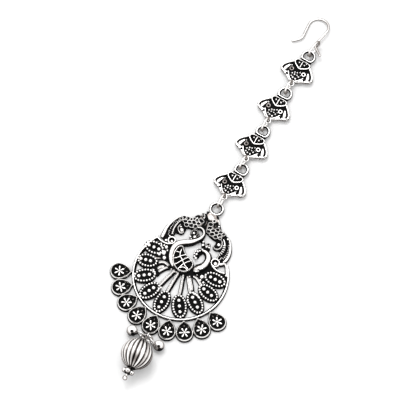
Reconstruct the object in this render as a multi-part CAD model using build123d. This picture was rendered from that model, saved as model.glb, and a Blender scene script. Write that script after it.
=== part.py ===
from build123d import *
import os
from math import atan2, cos, pi, radians, sin

# Maang tikka: a hair jewel of oxidised white metal, lying on its back.
# The origin is the centre of the pendant's wire rim, on its flat back. +Y runs along the
# chain to the hair hook, +X to the wearer's left, +Z out of the pendant's face. All in mm.

# ---- driving sizes ----
JUMP_WIRE = 0.9            # wire of the large jump rings
JUMP_RADIUS = 2.95         # centre line radius of a link ring
HOOK_RING_RADIUS = 3.55    # centre line radius of the ring on the hook
EYE_WIRE = 0.9             # cast eyes of the plates and the pendant
EYE_RADIUS = 2.5
EYE_LEVEL = 1.75           # height of the middle of every cast eye
PENDANT_EYE = (-1.8, 31.6)
RING_BEHIND = 2.45         # a link ring's centre lies this far below the loop that it hangs from

PLATE_BACK = 1.2           # the plates lie on the rings' wire, clear of the table
PLATE_FLOOR = 2.0
PLATE_RIM = 2.6
HOOD_TOP = 2.9
LUG_AT = -13.75            # loop behind the tip, measured from the plate's eye
LUG_RADIUS = 1.0
LUG_WIRE = 0.6
LUG_LEVEL = 1.9

RIM_CENTRE = (-0.35, -0.2)
RIM_RADIUS = 18.95
RIM_WIDTH = 0.8
RIM_TOP = 1.9
RIM_ENDS = (147.0, 403.0)  # the open side of the rim carries the arches

TEAR_CENTRE = (-0.2, 0.0)
TEAR_COUNT = 9
TEAR_STEP = 16.2
TEAR_TIP = 19.4            # distances from the centre of the teardrop circle
TEAR_BULB = 24.85
TEAR_RADIUS = 3.58
TEAR_BULGE = 0.3
TEAR_WALL = 0.55
TEAR_FLOOR = 1.0
TEAR_TOP = 2.0

BASE = 1.2                 # thickness of the casting's back
FEATHER_TOP = 1.7
FEATHER_MARGIN = 0.5       # metal outside the ring of granules
BODY_TOP = 2.5

# ---- feathers of the fan: middle, lie of the long axis, half axes of the granule ring ----
FEATHERS = [
    # x,     y,    turn,  half_long, half_wide
    (-15.4, 5.1, 187.0, 3.5, 2.25),
    (-15.0, -1.1, 195.0, 3.7, 2.35),
    (-12.85, -7.2, 215.0, 4.1, 2.35),
    (-7.9, -11.9, 246.0, 4.3, 2.45),
    (-1.35, -13.6, 270.0, 4.6, 2.45),
    (5.8, -12.0, 304.5, 4.6, 2.45),
    (10.4, -7.6, 325.0, 4.5, 2.45),
    (12.85, -1.35, 347.0, 4.2, 2.35),
    (12.6, 4.9, 359.0, 4.1, 2.3),
]

# ---- stems that carry the feathers: route from under the bird to the feather ----
STEMS = [
    [(-8.6, 4.4), (-10.3, 4.0), (-12.4, 4.8)],
    [(-6.6, 1.2), (-9.4, 1.6), (-11.8, -0.4)],
    [(-5.6, 0.8), (-8.3, -1.6), (-10.2, -4.8)],
    [(-3.9, 0.6), (-5.3, -3.8), (-6.2, -8.2)],
    [(-1.6, 0.6), (-1.7, -4.4), (-1.4, -9.6)],
    [(0.6, 0.6), (2.2, -3.6), (3.6, -8.6)],
    [(2.6, 0.9), (5.0, -2.2), (7.2, -5.4)],
    [(4.0, 1.9), (7.2, 1.2), (9.2, -0.6)],
    [(5.2, 3.6), (7.0, 4.0), (9.2, 4.8)],
]
STEM_WIDTH = 1.3

# ---- drawn strips of the pendant: name, route, bend radius, width, top ----
STRIPS = [
    ("neck", [(-5.2, 20.9), (-3.0, 22.5), (-0.2, 20.4), (-0.5, 17.2), (-3.6, 14.4),
              (-8.0, 12.4), (-9.6, 8.4), (-8.8, 4.0), (-4.6, 1.1)], 1.6, 1.6, BODY_TOP),
    ("tail", [(1.2, 13.0), (3.9, 13.6), (6.3, 12.2), (6.1, 8.9), (3.6, 6.4), (2.4, 3.0)],
     1.4, 1.7, BODY_TOP),
    ("tail_granules", [(1.9, 14.4), (0.3, 12.6), (0.2, 10.6), (1.3, 9.2)], 0.8, 1.0, 1.9),
    ("crest_stalk", [(2.6, 13.2), (2.4, 15.2), (2.8, 17.0)], 0.8, 1.0, 1.9),
    ("crest_branch", [(2.6, 14.6), (1.4, 15.8), (0.4, 17.0), (-0.8, 17.4)], 0.5, 0.9, 1.9),
    ("crest_tie", [(2.6, 15.4), (4.4, 15.6), (5.6, 17.2)], 0.6, 0.9, 1.9),
    ("beak", [(-3.0, 17.3), (-5.6, 16.5)], 0.0, 0.9, 1.9),
    ("left_crescent", [(-13.4, 20.8), (-15.5, 17.4), (-15.6, 13.0), (-13.8, 10.2)], 2.4, 1.4, 2.2),
    ("left_cord", [(-11.6, 20.6), (-13.1, 17.6), (-12.2, 14.0), (-13.2, 11.6)], 1.4, 1.1, 2.0),
    ("left_fan_top", [(-17.4, 10.4), (-15.2, 9.0), (-12.4, 8.8), (-9.6, 10.2)], 1.6, 0.8, 1.9),
    ("left_scroll_tie", [(-10.8, 19.8), (-11.4, 18.2)], 0.0, 1.1, 1.9),
    ("right_crescent", [(10.0, 21.4), (12.6, 19.0), (13.6, 15.6), (12.9, 12.9), (10.2, 11.4)],
     1.2, 1.4, 2.2),
    ("right_cord", [(8.6, 20.6), (9.9, 18.0), (9.4, 14.6), (10.6, 12.4)], 1.2, 1.1, 2.0),
    ("right_fan_top", [(16.6, 9.3), (13.4, 8.7), (10.6, 8.6), (7.6, 10.3)], 1.6, 0.8, 1.9),
    ("right_scroll_tie", [(7.0, 20.6), (7.7, 19.0)], 0.0, 1.1, 1.9),
    ("right_rim_tie", [(12.6, 13.2), (13.9, 12.0)], 0.0, 0.9, 1.9),
]

# ---- round bits of the pendant: middle, middle line radius, width (0 is a disc) ----
ROUNDS = [
    # x,     y,    radius, width
    (-4.4, 18.3, 1.15, 0.7),
    (2.8, 17.2, 1.0, 0.0),
    (-9.8, 17.3, 1.75, 0.8),
    (6.3, 18.5, 1.75, 0.8),
    (-10.8, 11.4, 1.25, 0.8),
    (8.9, 11.3, 1.25, 0.8),
    (-5.2, 27.0, 0.75, 0.7),
]

# ---- filled plates of the pendant: name, outline, corner radius, top ----
FILLS = [
    ("body", [(-5.4, 12.6), (-3.2, 9.2), (-0.4, 8.0), (1.8, 7.0), (2.2, 4.8), (1.2, 2.2),
              (-1.6, 0.9), (-5.0, 1.6), (-7.6, 5.0), (-7.9, 9.0), (-7.0, 12.2)], 0.6, 2.1),
    ("head", [(-5.9, 18.6), (-4.9, 20.8), (-2.6, 21.8), (-0.8, 20.0), (-0.8, 17.6),
              (-3.2, 16.4), (-5.2, 16.8)], 0.5, BASE),
    ("hub", [(-8.6, 4.8), (-6.0, 0.6), (-1.5, -0.9), (3.4, 0.6), (5.9, 4.4), (3.0, 6.4)], 0.8, BASE),
    ("left_net", [(-13.4, 21.4), (-10.8, 23.8), (-7.8, 24.2), (-6.6, 26.2), (-3.0, 26.8),
                  (-1.0, 26.6), (-1.2, 22.4), (-4.6, 21.6), (-8.0, 19.4), (-11.4, 19.3)], 0.5, 1.9),
    ("right_net", [(-1.6, 26.6), (1.2, 26.4), (3.4, 25.2), (6.4, 24.4), (8.8, 23.6), (10.8, 21.6),
                   (9.4, 19.8), (7.2, 20.2), (4.8, 19.9), (1.4, 20.9), (-1.4, 22.4)], 0.5, 1.9),
    ("left_arch", [(-12.6, 21.2), (-15.2, 17.4), (-15.3, 12.8), (-13.6, 11.2), (-12.2, 13.8),
                   (-12.6, 17.4)], 0.5, BASE),
    ("right_arch", [(9.4, 21.2), (12.4, 18.8), (13.2, 15.4), (12.4, 12.8), (10.2, 12.4),
                    (9.4, 14.8), (9.6, 18.0)], 0.5, BASE),
    ("left_corner", [(-12.6, 12.6), (-10.0, 12.2), (-8.6, 9.0), (-9.8, 8.6), (-12.4, 10.6)],
     0.4, BASE),
    ("right_corner", [(10.4, 12.6), (7.0, 12.4), (5.6, 9.4), (7.2, 8.8), (10.2, 10.8)],
     0.4, BASE),
    ("neck_block", [(-4.2, 29.0), (0.6, 29.0), (1.3, 26.4), (0.6, 25.4), (-3.9, 25.4),
                    (-4.9, 26.6)], 0.4, 2.05),
]

# ---- the chain lies a little slack: each plate's eye, and how far the plate turns about it ----
CHAIN_PLATES = [
    # x,    y,     turn
    (-2.0, 107.7, -1.4),
    (-2.3, 88.9, -1.0),
    (-2.0, 70.0, -0.6),
    (-1.4, 51.3, -1.0),
]

# ---- half outline of a chain plate, from its eye downwards ----
PLATE_EDGE = [(1.7, -1.9), (2.45, -2.5), (2.5, -3.2), (3.5, -4.5), (3.4, -5.5), (4.8, -6.3),
              (6.3, -7.6), (7.1, -9.0), (7.0, -10.2), (5.6, -10.9), (3.9, -10.5), (1.6, -12.6)]
PLATE_TIP = (0.0, -12.85)
PLATE_WALL = 0.55
HOOD_WALL = 0.45
HOOD_EDGE = [(2.3, -3.2), (3.3, -4.4), (2.7, -5.7), (1.3, -6.9)]
HOOD_TIP = (0.0, -7.6)
HOOD_HEAD = (0.0, -3.0)
WING_LOBE = [(3.6, -7.2), (5.6, -8.4), (6.0, -9.4), (5.1, -9.8), (4.2, -8.8)]

# ---- hair hook: the wire's own flat drawing, from its left tail tip ----
HOOK_WIRE = 0.95
HOOK_CORNERS = [(0.0, 0.0), (2.9, 2.7), (1.6, 14.3), (11.2, 13.7), (9.05, 1.95), (13.4, -1.25)]
HOOK_BENDS = [3.2, 3.9, 3.9, 2.6]
HOOK_TAIL = (-11.2, 111.15, 0.76)
HOOK_SLOPE = (0.1713, -0.0636)   # rise per mm along X and Y: it lies tipped on its ring
HOOK_RING_AT = (-1.316, 110.9)
HOOK_RING_YAW = 8.5

# ---- cluster under the pendant ----
DROP_RING = ((1.5, -30.4, 2.8), (0.0, -0.673, -0.74), 2.1, 0.8)   # middle, axis, radius, wire
FOOT_LOOP = ((1.0, -28.95, 1.4), (1, 0, 0), 0.95, 0.6)
MELON_AT = (2.0, -39.7, 6.25)
MELON_RADIUS = 6.2
MELON_RIBS = 18
MELON_GROOVE = 0.25
MELON_BORE = 1.0
MELON_LEAN = 4.5           # the bead sits a little tipped on its pin
PIN_DIP = 4.0              # the pin's foot lies lower than its head
PIN_LEAN = 4.0             # and further to +X
PIN_WIRE = 0.8
SPACER_OUT = 8.0           # distances along the pin from the bead's middle
END_BALL_OUT = 10.75
END_BALL_RADIUS = 1.0
SPACER_BALLS = 8
SPACER_BALL_RADIUS = 0.85
SPACER_RADIUS = 1.75
PIN_HEAD_OUT = 6.9
PIN_EYE = ((1.7, -32.0, 4.25), (1, 0, 0), 0.95, 0.6)
BALL_RADIUS = 2.2
SIDE_BALLS = {
    "left": ((-5.35, -30.5, 2.25), ((-1.4, -30.35, 2.6), (0.0, 1.0, 0.0), 1.8, 0.64)),
    "right": ((7.1, -30.9, 2.25), ((3.95, -31.0, 2.6), (0.42, 0.91, 0.0), 1.8, 0.64)),
}


def wire_ring(middle, axis, radius, wire):
    """A closed ring of round wire, by its middle, its axis and its centre line radius."""
    return Plane(origin=middle, z_dir=axis) * Torus(radius, wire / 2)


def cast_eye(middle):
    """The flat cast eye of a plate or of the pendant."""
    return wire_ring((middle[0], middle[1], EYE_LEVEL), (0, 0, 1), EYE_RADIUS, EYE_WIRE)


def filled(outline, corner, bottom, top):
    """A flat plate with rounded corners between two levels."""
    edge = FilletPolyline(*outline, radius=corner, close=True)
    return Pos(0, 0, bottom) * extrude(make_face(edge), top - bottom)


def strip(route, bend, width, bottom, top):
    """A strip of even width along a route of straight runs and arcs."""
    line = FilletPolyline(*route, radius=bend) if bend else Polyline(*route)
    return Pos(0, 0, bottom) * extrude(trace(line, width), top - bottom)


def round_bit(x, y, radius, width, top):
    """A disc, or a flat ring where a width is given."""
    if width == 0:
        return Pos(x, y, top / 2) * Cylinder(radius, top)
    outer = Pos(x, y, top / 2) * Cylinder(radius + width / 2, top)
    return outer - Pos(x, y, top / 2) * Cylinder(radius - width / 2, top + 1)


def teardrop_face(inset):
    """A teardrop outline on the X axis, with its tip towards the centre of the circle."""
    radius = TEAR_RADIUS - inset
    tip = (TEAR_TIP + 1.8 * inset, 0)
    shoulder = radians(112)
    top = (TEAR_BULB + radius * cos(shoulder), radius * sin(shoulder))
    run = atan2(top[1], top[0] - tip[0])
    middle = ((tip[0] + top[0]) / 2 - TEAR_BULGE * sin(run), top[1] / 2 + TEAR_BULGE * cos(run))
    edge = ThreePointArc(tip, middle, top)
    edge += ThreePointArc(top, (TEAR_BULB + radius, 0), (top[0], -top[1]))
    edge += ThreePointArc((top[0], -top[1]), (middle[0], -middle[1]), tip)
    return make_face(edge)


def teardrop(turn):
    """A teardrop with a raised wall, a sunk floor and a six-rayed flower."""
    body = extrude(teardrop_face(0), TEAR_TOP)
    body -= Pos(0, 0, TEAR_FLOOR) * extrude(teardrop_face(TEAR_WALL), TEAR_TOP)
    ray = Pos(TEAR_BULB - 0.3, 0, (TEAR_FLOOR + 1.7) / 2) * Box(4.2, 0.6, 1.7 - TEAR_FLOOR)
    for k in range(3):
        middle = Pos(TEAR_BULB - 0.3, 0, 0)
        body += middle * Rot(0, 0, 60 * k) * middle.inverse() * ray
    return Pos(*TEAR_CENTRE, 0) * Rot(0, 0, turn) * body


def feather(x, y, turn, half_long, half_wide):
    """An oval feather plate, its three large granules and the tie to the rim."""
    plate = extrude(Ellipse(half_long + FEATHER_MARGIN, half_wide + FEATHER_MARGIN), FEATHER_TOP)
    for step in (-1, 0, 1):
        plate += Pos(2.15 * step, 0, FEATHER_TOP) * Sphere(0.8)
    tie = Pos(half_long / 2 + 1.5, 0, BASE / 2) * Box(half_long + 3.0, 1.6, BASE)
    placed = Pos(x, y, 0) * Rot(0, 0, turn) * (plate + tie)
    return placed & Pos(*RIM_CENTRE, 2) * Cylinder(RIM_RADIUS, 10)


def rim():
    """The wire rim, open where the arches stand on it."""
    start, end = RIM_ENDS
    curve = CenterArc(RIM_CENTRE, RIM_RADIUS, start, end - start)
    return extrude(trace(curve, RIM_WIDTH), RIM_TOP)


def pendant():
    """The pendant: one casting from its eye to the loop under its lowest teardrop."""
    pieces = [rim(), cast_eye(PENDANT_EYE), wire_ring(*FOOT_LOOP)]
    first = 270 - TEAR_STEP * (TEAR_COUNT - 1) / 2
    pieces += [teardrop(first + TEAR_STEP * k) for k in range(TEAR_COUNT)]
    pieces += [feather(*row) for row in FEATHERS]
    pieces += [strip(route, 0.8, STEM_WIDTH, 0, 1.6) for route in STEMS]
    pieces += [strip(route, bend, width, 0, top) for name, route, bend, width, top in STRIPS]
    pieces += [round_bit(*row, 1.9) for row in ROUNDS]
    pieces += [filled(outline, corner, 0, top) for name, outline, corner, top in FILLS]
    return Part() + pieces


def mirrored(half, tip, head=()):
    """A closed outline from its right half, its tip on the axis and any head points."""
    return list(head) + list(half) + [tip] + [(-x, y) for x, y in reversed(half)]


def inset(outline, wall):
    """The same closed outline moved inwards by a wall; outlines here run clockwise."""
    moved = []
    for k, point in enumerate(outline):
        before = Vector(*outline[k - 1])
        after = Vector(*outline[(k + 1) % len(outline)])
        here = Vector(*point)
        run_in = (here - before).normalized()
        run_out = (after - here).normalized()
        inward = Vector(run_in.Y + run_out.Y, -run_in.X - run_out.X)
        reach = wall / (inward.length / 2)
        moved.append(here + inward.normalized() * reach)
    return [(point.X, point.Y) for point in moved]


def chain_plate():
    """One chain plate with its eye at the origin and its tip towards -Y."""
    outline = mirrored(PLATE_EDGE, PLATE_TIP)
    plate = filled(outline, 0.4, PLATE_BACK, PLATE_RIM)
    plate -= filled(inset(outline, PLATE_WALL), 0.2, PLATE_FLOOR, HOOD_TOP + 1)
    hood = mirrored(HOOD_EDGE, HOOD_TIP, [HOOD_HEAD])
    plate += filled(hood, 0.3, PLATE_BACK, HOOD_TOP)
    plate -= filled(inset(hood, HOOD_WALL), 0.15, PLATE_FLOOR + 0.2, HOOD_TOP + 1)
    plate += Pos(0, -5.2, (PLATE_FLOOR + HOOD_TOP) / 2) * Box(0.5, 4.4, HOOD_TOP - PLATE_FLOOR)
    plate += filled([(-2.4, -2.9), (2.4, -2.9), (1.9, -1.9), (-1.9, -1.9)], 0.2, PLATE_BACK, 2.3)
    for side in (1, -1):
        lobe = [(side * x, y) for x, y in WING_LOBE]
        plate += filled(lobe, 0.3, PLATE_FLOOR - 0.1, PLATE_RIM)
        plate += Pos(side * 2.75, -8.5, 2.2) * Cylinder(0.9, 0.6)
    plate += cast_eye((0, 0))
    plate -= Pos(0, 0, EYE_LEVEL) * Cylinder(EYE_RADIUS - EYE_WIRE / 2, 4)
    plate += wire_ring((0, LUG_AT, LUG_LEVEL), (0, 0, 1), LUG_RADIUS, LUG_WIRE)
    return plate


def hair_hook():
    """The omega hook: round wire bent in one plane, lying tipped on its ring."""
    rise_x, rise_y = HOOK_SLOPE
    lie = Plane(origin=HOOK_TAIL, x_dir=(1, 0, rise_x), z_dir=(-rise_x, -rise_y, 1))
    path = FilletPolyline(*HOOK_CORNERS, radius=HOOK_BENDS)
    wire = sweep(Plane(origin=path @ 0, z_dir=path % 0) * Circle(HOOK_WIRE / 2), path=path)
    for end in (path @ 0, path @ 1):
        wire += Pos(end) * Sphere(HOOK_WIRE / 2)
    return lie * wire


def pin_frame():
    """The pin's own frame: middle of the bead, with Z along the pin towards its eye."""
    dip = radians(PIN_DIP)
    lean = radians(PIN_LEAN)
    along = (-sin(lean) * cos(dip), cos(lean) * cos(dip), sin(dip))
    return Plane(origin=MELON_AT, x_dir=(cos(lean), sin(lean), 0), z_dir=along)


def melon_bead():
    """The ribbed bead: a bored ball with a groove along each meridian."""
    bead = Sphere(MELON_RADIUS)
    for k in range(MELON_RIBS):
        groove = Torus(MELON_RADIUS + 0.35, 0.35 + MELON_GROOVE)
        half = Pos(MELON_RADIUS, 0, 0) * Box(2 * MELON_RADIUS, 3, 1.68 * MELON_RADIUS)
        bead -= Rot(0, 0, 360 * k / MELON_RIBS) * (Rot(90, 0, 0) * groove & half)
    bead -= Cylinder(MELON_BORE, 3 * MELON_RADIUS)
    return pin_frame() * Rot(0, -MELON_LEAN, 0) * bead


def granule_spacer():
    """A ring of balls soldered round a small tube on the pin."""
    tube = Cylinder(SPACER_RADIUS, SPACER_BALL_RADIUS) - Cylinder(0.65, 4)
    balls = []
    for k in range(SPACER_BALLS):
        turn = 2 * pi * k / SPACER_BALLS
        balls.append(Pos(SPACER_RADIUS * cos(turn), SPACER_RADIUS * sin(turn), 0)
                     * Sphere(SPACER_BALL_RADIUS))
    ring = (Part() + [tube] + balls) - Cylinder(0.65, 4)
    return pin_frame() * Pos(0, 0, -SPACER_OUT) * ring


def head_pin():
    """The pin: end ball, shaft through spacer and bead, bent neck and eye."""
    frame = pin_frame()
    head = (frame * Pos(0, 0, PIN_HEAD_OUT)).position
    foot = (frame * Pos(0, 0, -END_BALL_OUT)).position
    middle, axis, radius, wire = PIN_EYE
    eye_top = (middle[0], middle[1] + 0.2, middle[2] + radius)
    path = FilletPolyline(foot, head, eye_top, radius=0.5)
    shaft = sweep(Plane(origin=path @ 0, z_dir=path % 0) * Circle(PIN_WIRE / 2), path=path)
    return Part() + [shaft, Pos(foot) * Sphere(END_BALL_RADIUS), wire_ring(*PIN_EYE)]


def side_ball(middle, loop):
    """A plain ball with its wire loop soldered on."""
    return Pos(*middle) * Rot(0, 0, 90) * Sphere(BALL_RADIUS) + wire_ring(*loop)


def hook_ring():
    """The jump ring that stands on edge between the hook and the first plate."""
    yaw = radians(HOOK_RING_YAW)
    level = HOOK_RING_RADIUS + JUMP_WIRE / 2
    return wire_ring((*HOOK_RING_AT, level), (cos(yaw), -sin(yaw), 0), HOOK_RING_RADIUS, JUMP_WIRE)


def build():
    """Every piece of the jewel by its node name."""
    nodes = {"hair_hook": hair_hook(), "hook_ring": hook_ring(), "pendant": pendant()}
    level = JUMP_RADIUS + JUMP_WIRE / 2
    for number, (x, y, turn) in enumerate(CHAIN_PLATES, start=1):
        place = Pos(x, y, 0) * Rot(0, 0, turn)
        nodes[f"chain_plate_{number}"] = place * chain_plate()
        loop = (place * Pos(0, LUG_AT, 0)).position
        middle = (loop.X, loop.Y - RING_BEHIND, level)
        nodes[f"link_ring_{number}"] = wire_ring(middle, (1, 0, 0), JUMP_RADIUS, JUMP_WIRE)
    nodes["drop_ring"] = wire_ring(*DROP_RING)
    nodes["melon_bead"] = melon_bead()
    nodes["granule_spacer"] = granule_spacer()
    nodes["head_pin"] = head_pin()
    for side, (middle, loop) in SIDE_BALLS.items():
        nodes[f"side_ball_{side}"] = side_ball(middle, loop)
    return nodes


os.makedirs("parts", exist_ok=True)
for name, shape in build().items():
    solids = shape.solids()
    print(name, len(solids), "solid(s)", round(shape.volume, 2), "mm3")
    shape.label = name
    export_step(shape if len(solids) != 1 else solids[0], f"parts/{name}.step")
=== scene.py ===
# %% [markdown]
# # An oxidised silver maang tikka
# A maang tikka is a jewel for the parting of the hair. A wire hook slides into the hair at the
# crown, a short chain of cast plates lies along the parting, and a round pendant rests on the
# forehead. This one is cast in silver, blackened all over with liver of sulphur and then rubbed
# back with a cloth, so that only what stands proud is bright.
#
# The construction model holds every piece at its place and size. Here the cast pieces are
# modelled again with their granules, nets and milled edges, and the plain wires keep their
# construction shapes and only get a finish.

# %% Open the construction model
import random
from math import cos, pi, radians, sin

import bmesh
import bpy
import numpy as np
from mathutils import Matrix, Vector
from mathutils.geometry import tessellate_polygon


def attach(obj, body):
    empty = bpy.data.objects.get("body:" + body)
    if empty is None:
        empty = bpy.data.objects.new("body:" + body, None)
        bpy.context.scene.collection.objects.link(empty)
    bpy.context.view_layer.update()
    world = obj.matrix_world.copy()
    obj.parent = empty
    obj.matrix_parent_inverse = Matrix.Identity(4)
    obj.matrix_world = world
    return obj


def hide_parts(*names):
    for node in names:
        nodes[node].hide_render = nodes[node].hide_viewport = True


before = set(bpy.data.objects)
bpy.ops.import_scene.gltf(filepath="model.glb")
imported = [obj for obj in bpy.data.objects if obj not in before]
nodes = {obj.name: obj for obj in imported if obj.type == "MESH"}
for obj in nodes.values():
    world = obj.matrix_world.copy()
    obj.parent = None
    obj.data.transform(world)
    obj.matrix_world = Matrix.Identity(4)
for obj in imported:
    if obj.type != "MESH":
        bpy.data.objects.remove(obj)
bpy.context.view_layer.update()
MM = 0.001
bpy.context.scene.view_settings.view_transform = "Standard"

# %% [markdown]
# ## The finish: blackened silver, rubbed back
# On the bench the whole casting is turned black first. Rubbing then takes the black off the high
# places only. So each modelled piece stores one number for each of its points, `rubbed`: 0 at
# the foot of a wire or in a sunk floor, 1 on a crest. It could be worked out by the renderer
# from how enclosed a place is, but that is noisy and slow on thousands of granules, and the
# modeller knows the heights anyway. The same number also carries painted shade, on the flanks of
# domes, under wires and low down on the beads, and painted dark reflections on the beads.
#
# The first shader group turns that number into a ragged mask, because a cloth never rubs evenly.

# %% Group: ragged_mask
def feed(target, inputs):
    """Sets a node's inputs: each takes a number, a colour, a vector or another node's output."""
    for name, value in inputs.items():
        if isinstance(value, bpy.types.NodeSocket):
            target.id_data.links.new(value, target.inputs[name])
        else:
            target.inputs[name].default_value = value


def node(tree, kind, place, inputs, **settings):
    """Adds a shader node at a grid place, with its plain properties and its inputs."""
    made = tree.nodes.new(kind)
    made.location = (place[0] * 220, place[1] * -180)
    for key, value in settings.items():
        setattr(made, key, value)
    feed(made, inputs)
    return made


def math_node(tree, operation, place, *operands, clamp=False):
    """The output of a math node; each operand is a number or an output."""
    return node(tree, "ShaderNodeMath", place, dict(enumerate(operands)), operation=operation,
                use_clamp=clamp).outputs[0]


def shader_group(name, inputs, output):
    """A group of number inputs with their limits and one output, and its inputs' sockets."""
    group = bpy.data.node_groups.new(name, "ShaderNodeTree")
    for label, low, high, start in inputs:
        socket = group.interface.new_socket(label, in_out="INPUT", socket_type="NodeSocketFloat")
        socket.min_value, socket.max_value, socket.default_value = low, high, start
    group.interface.new_socket(output, in_out="OUTPUT", socket_type="NodeSocketFloat")
    return group, node(group, "NodeGroupInput", (0, 0), {}).outputs


ragged_mask, given = shader_group("ragged_mask", [
    # input, lowest, highest, start
    ("Height", 0, 1, 0.5),
    ("Cut", 0, 1, 0.42),
    ("Softness", 0.01, 1, 0.22),
    ("Raggedness", 0, 1, 0.3),
], "Bright")
place = node(ragged_mask, "ShaderNodeTexCoord", (0, 2), {}).outputs["Object"]
cloth = node(ragged_mask, "ShaderNodeTexNoise", (1, 2),
             {"Vector": place, "Scale": 900, "Detail": 4, "Roughness": 0.6})
centred = math_node(ragged_mask, "SUBTRACT", (2, 2), cloth.outputs[0], 0.5)
uneven = math_node(ragged_mask, "MULTIPLY", (3, 2), centred, given["Raggedness"])
height = math_node(ragged_mask, "ADD", (4, 1), given["Height"], uneven)
above = math_node(ragged_mask, "SUBTRACT", (4, 0), height, given["Cut"])
bright = math_node(ragged_mask, "DIVIDE", (5, 0), above, given["Softness"], clamp=True)
node(ragged_mask, "NodeGroupOutput", (6, 0), {"Bright": bright})
print("group", ragged_mask.name, "with", len(ragged_mask.nodes), "nodes")

# %% [markdown]
# ## Handling marks
# Polished silver is never a mirror. Drawn wire has fine lines along it, a casting keeps the
# grain of its mould, and all of it has hairline scratches. One group makes a fine height from
# two noises, one even and one stretched into streaks, which feeds a Bump node and the roughness.

# %% Group: handling_marks
handling_marks, given = shader_group("handling_marks", [
    # input, lowest, highest, start
    ("Grain size", 1, 20000, 4000),
    ("Streaks", 0, 1, 0.3),
], "Marks")
place = node(handling_marks, "ShaderNodeTexCoord", (0, 1), {}).outputs["Object"]
grain = node(handling_marks, "ShaderNodeTexNoise", (2, 0),
             {"Vector": place, "Scale": given["Grain size"], "Detail": 5})
stretch = node(handling_marks, "ShaderNodeMapping", (1, 2),
               {"Vector": place, "Scale": (1.0, 0.06, 1.0), "Rotation": (0.2, 0.0, 0.5)})
streak = node(handling_marks, "ShaderNodeTexNoise", (2, 2),
              {"Vector": stretch.outputs[0], "Scale": 7000, "Detail": 2})
blend = node(handling_marks, "ShaderNodeMix", (3, 0),
             {"Factor": given["Streaks"], "A": grain.outputs[0], "B": streak.outputs[0]})
node(handling_marks, "NodeGroupOutput", (5, 0), {"Marks": blend.outputs[0]})
print("group", handling_marks.name, "with", len(handling_marks.nodes), "nodes")

# %% [markdown]
# ## The silver materials
# Four finishes share the groups: the castings with deep black floors, the beads with black
# grooves, painted shade low down and painted dark reflections, and the drawn wire of the hook
# and of the rings, which is nearly all bright. Silver and its black sulphide skin lie on the
# same surface, so colour, roughness and metallic all follow one mask. Between the two a ramp
# passes through a warm grey, the half rubbed skin, which is also the middle tone of the painted
# shade.
#
# Castings and beads take the mask from the stored number. The wires keep their construction
# meshes, which store nothing, so theirs comes from how far the surface faces a fixed direction
# near the camera's: this paints shade along both flanks of a wire.

# %% Materials of the jewel
# The black and the warm grey are the sulphide skin and its half rubbed state. On the beads, the
# flanks of domes and the stems' black feet they are also painted shade.
SILVER = (0.88, 0.865, 0.85, 1)
HALF_RUBBED_AND_HALF_SHADE = (0.27, 0.24, 0.225, 1)
SULPHIDE_AND_SHADE_BLACK = (0.004, 0.004, 0.004, 1)
# The next grey is painted shade on the wires' flanks. The wires are painted bright where they face
# the direction below it, near the camera's.
WIRE_FLANK_SHADE = (0.18, 0.16, 0.145, 1)
PAINTED_LIGHT_FROM = (0.2, -0.36, 1.0)
SKIN_ROUGHNESS = 0.5
SKIN_METALLIC = 0.3
MARK_DEPTH = 0.03 * MM


def silver_material(name, cut, softness, raggedness, shine, grain, streaks, darkest=SULPHIDE_AND_SHADE_BLACK,
                    painted_light_from=None):
    """Silver whose dark skin is rubbed off where its height passes the cut; for the wires their
    facing takes the height's place and paints shade on their flanks.
    """
    made = bpy.data.materials.new(name)
    made.use_nodes = True
    tree = made.node_tree
    if painted_light_from:
        surface = node(tree, "ShaderNodeNewGeometry", (1, 0), {})
        height = node(tree, "ShaderNodeVectorMath", (2, 0),
                      {0: surface.outputs["Normal"], 1: Vector(painted_light_from).normalized()},
                      operation="DOT_PRODUCT").outputs["Value"]
    else:
        stored = node(tree, "ShaderNodeAttribute", (1, 0), {}, attribute_name="rubbed")
        height = stored.outputs["Fac"]
    bright = node(tree, "ShaderNodeGroup", (3, 0),
                  {"Height": height, "Cut": cut, "Softness": softness, "Raggedness": raggedness},
                  node_tree=ragged_mask).outputs["Bright"]
    marks = node(tree, "ShaderNodeGroup", (1, 2), {"Grain size": grain, "Streaks": streaks},
                 node_tree=handling_marks).outputs["Marks"]
    colour = node(tree, "ShaderNodeValToRGB", (5, 0), {"Fac": bright})
    stops = colour.color_ramp.elements
    stops[0].color, stops[1].color = darkest, SILVER
    stops.new(0.5).color = HALF_RUBBED_AND_HALF_SHADE
    dull = node(tree, "ShaderNodeMapRange", (5, 1),
                {"Value": bright, "To Min": SKIN_ROUGHNESS, "To Max": shine})
    smear = math_node(tree, "MULTIPLY_ADD", (5, 2), marks, 0.1, dull.outputs[0])
    metal = node(tree, "ShaderNodeMapRange", (5, 3),
                 {"Value": bright, "To Min": SKIN_METALLIC, "To Max": 1.0})
    bump = node(tree, "ShaderNodeBump", (5, 4),
                {"Height": marks, "Strength": 0.25, "Distance": MARK_DEPTH})
    feed(tree.nodes["Principled BSDF"],
         {"Base Color": colour.outputs["Color"], "Roughness": smear, "Metallic": metal.outputs[0],
          "Normal": bump.outputs[0], "Specular IOR Level": 0.03})
    return made


FINISHES = {
    # name: cut, softness, raggedness, shine, grain size, streaks, darkest, direction of painted
    # light
    "casting_patina_and_painted_shade": (0.28, 0.32, 0.3, 0.14, 3500, 0.15),
    "bead_patina_and_painted_light": (0.2, 0.6, 0.25, 0.1, 3000, 0.2),
    "drawn_wire": (0.5, 0.44, 0.1, 0.1, 5000, 0.6, WIRE_FLANK_SHADE, PAINTED_LIGHT_FROM),
    "ring_wire": (0.3, 0.5, 0.1, 0.1, 5000, 0.6, WIRE_FLANK_SHADE, PAINTED_LIGHT_FROM),
}
silver = {name: silver_material(name, *numbers) for name, numbers in FINISHES.items()}
print("silver finishes:", list(silver))

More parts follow.
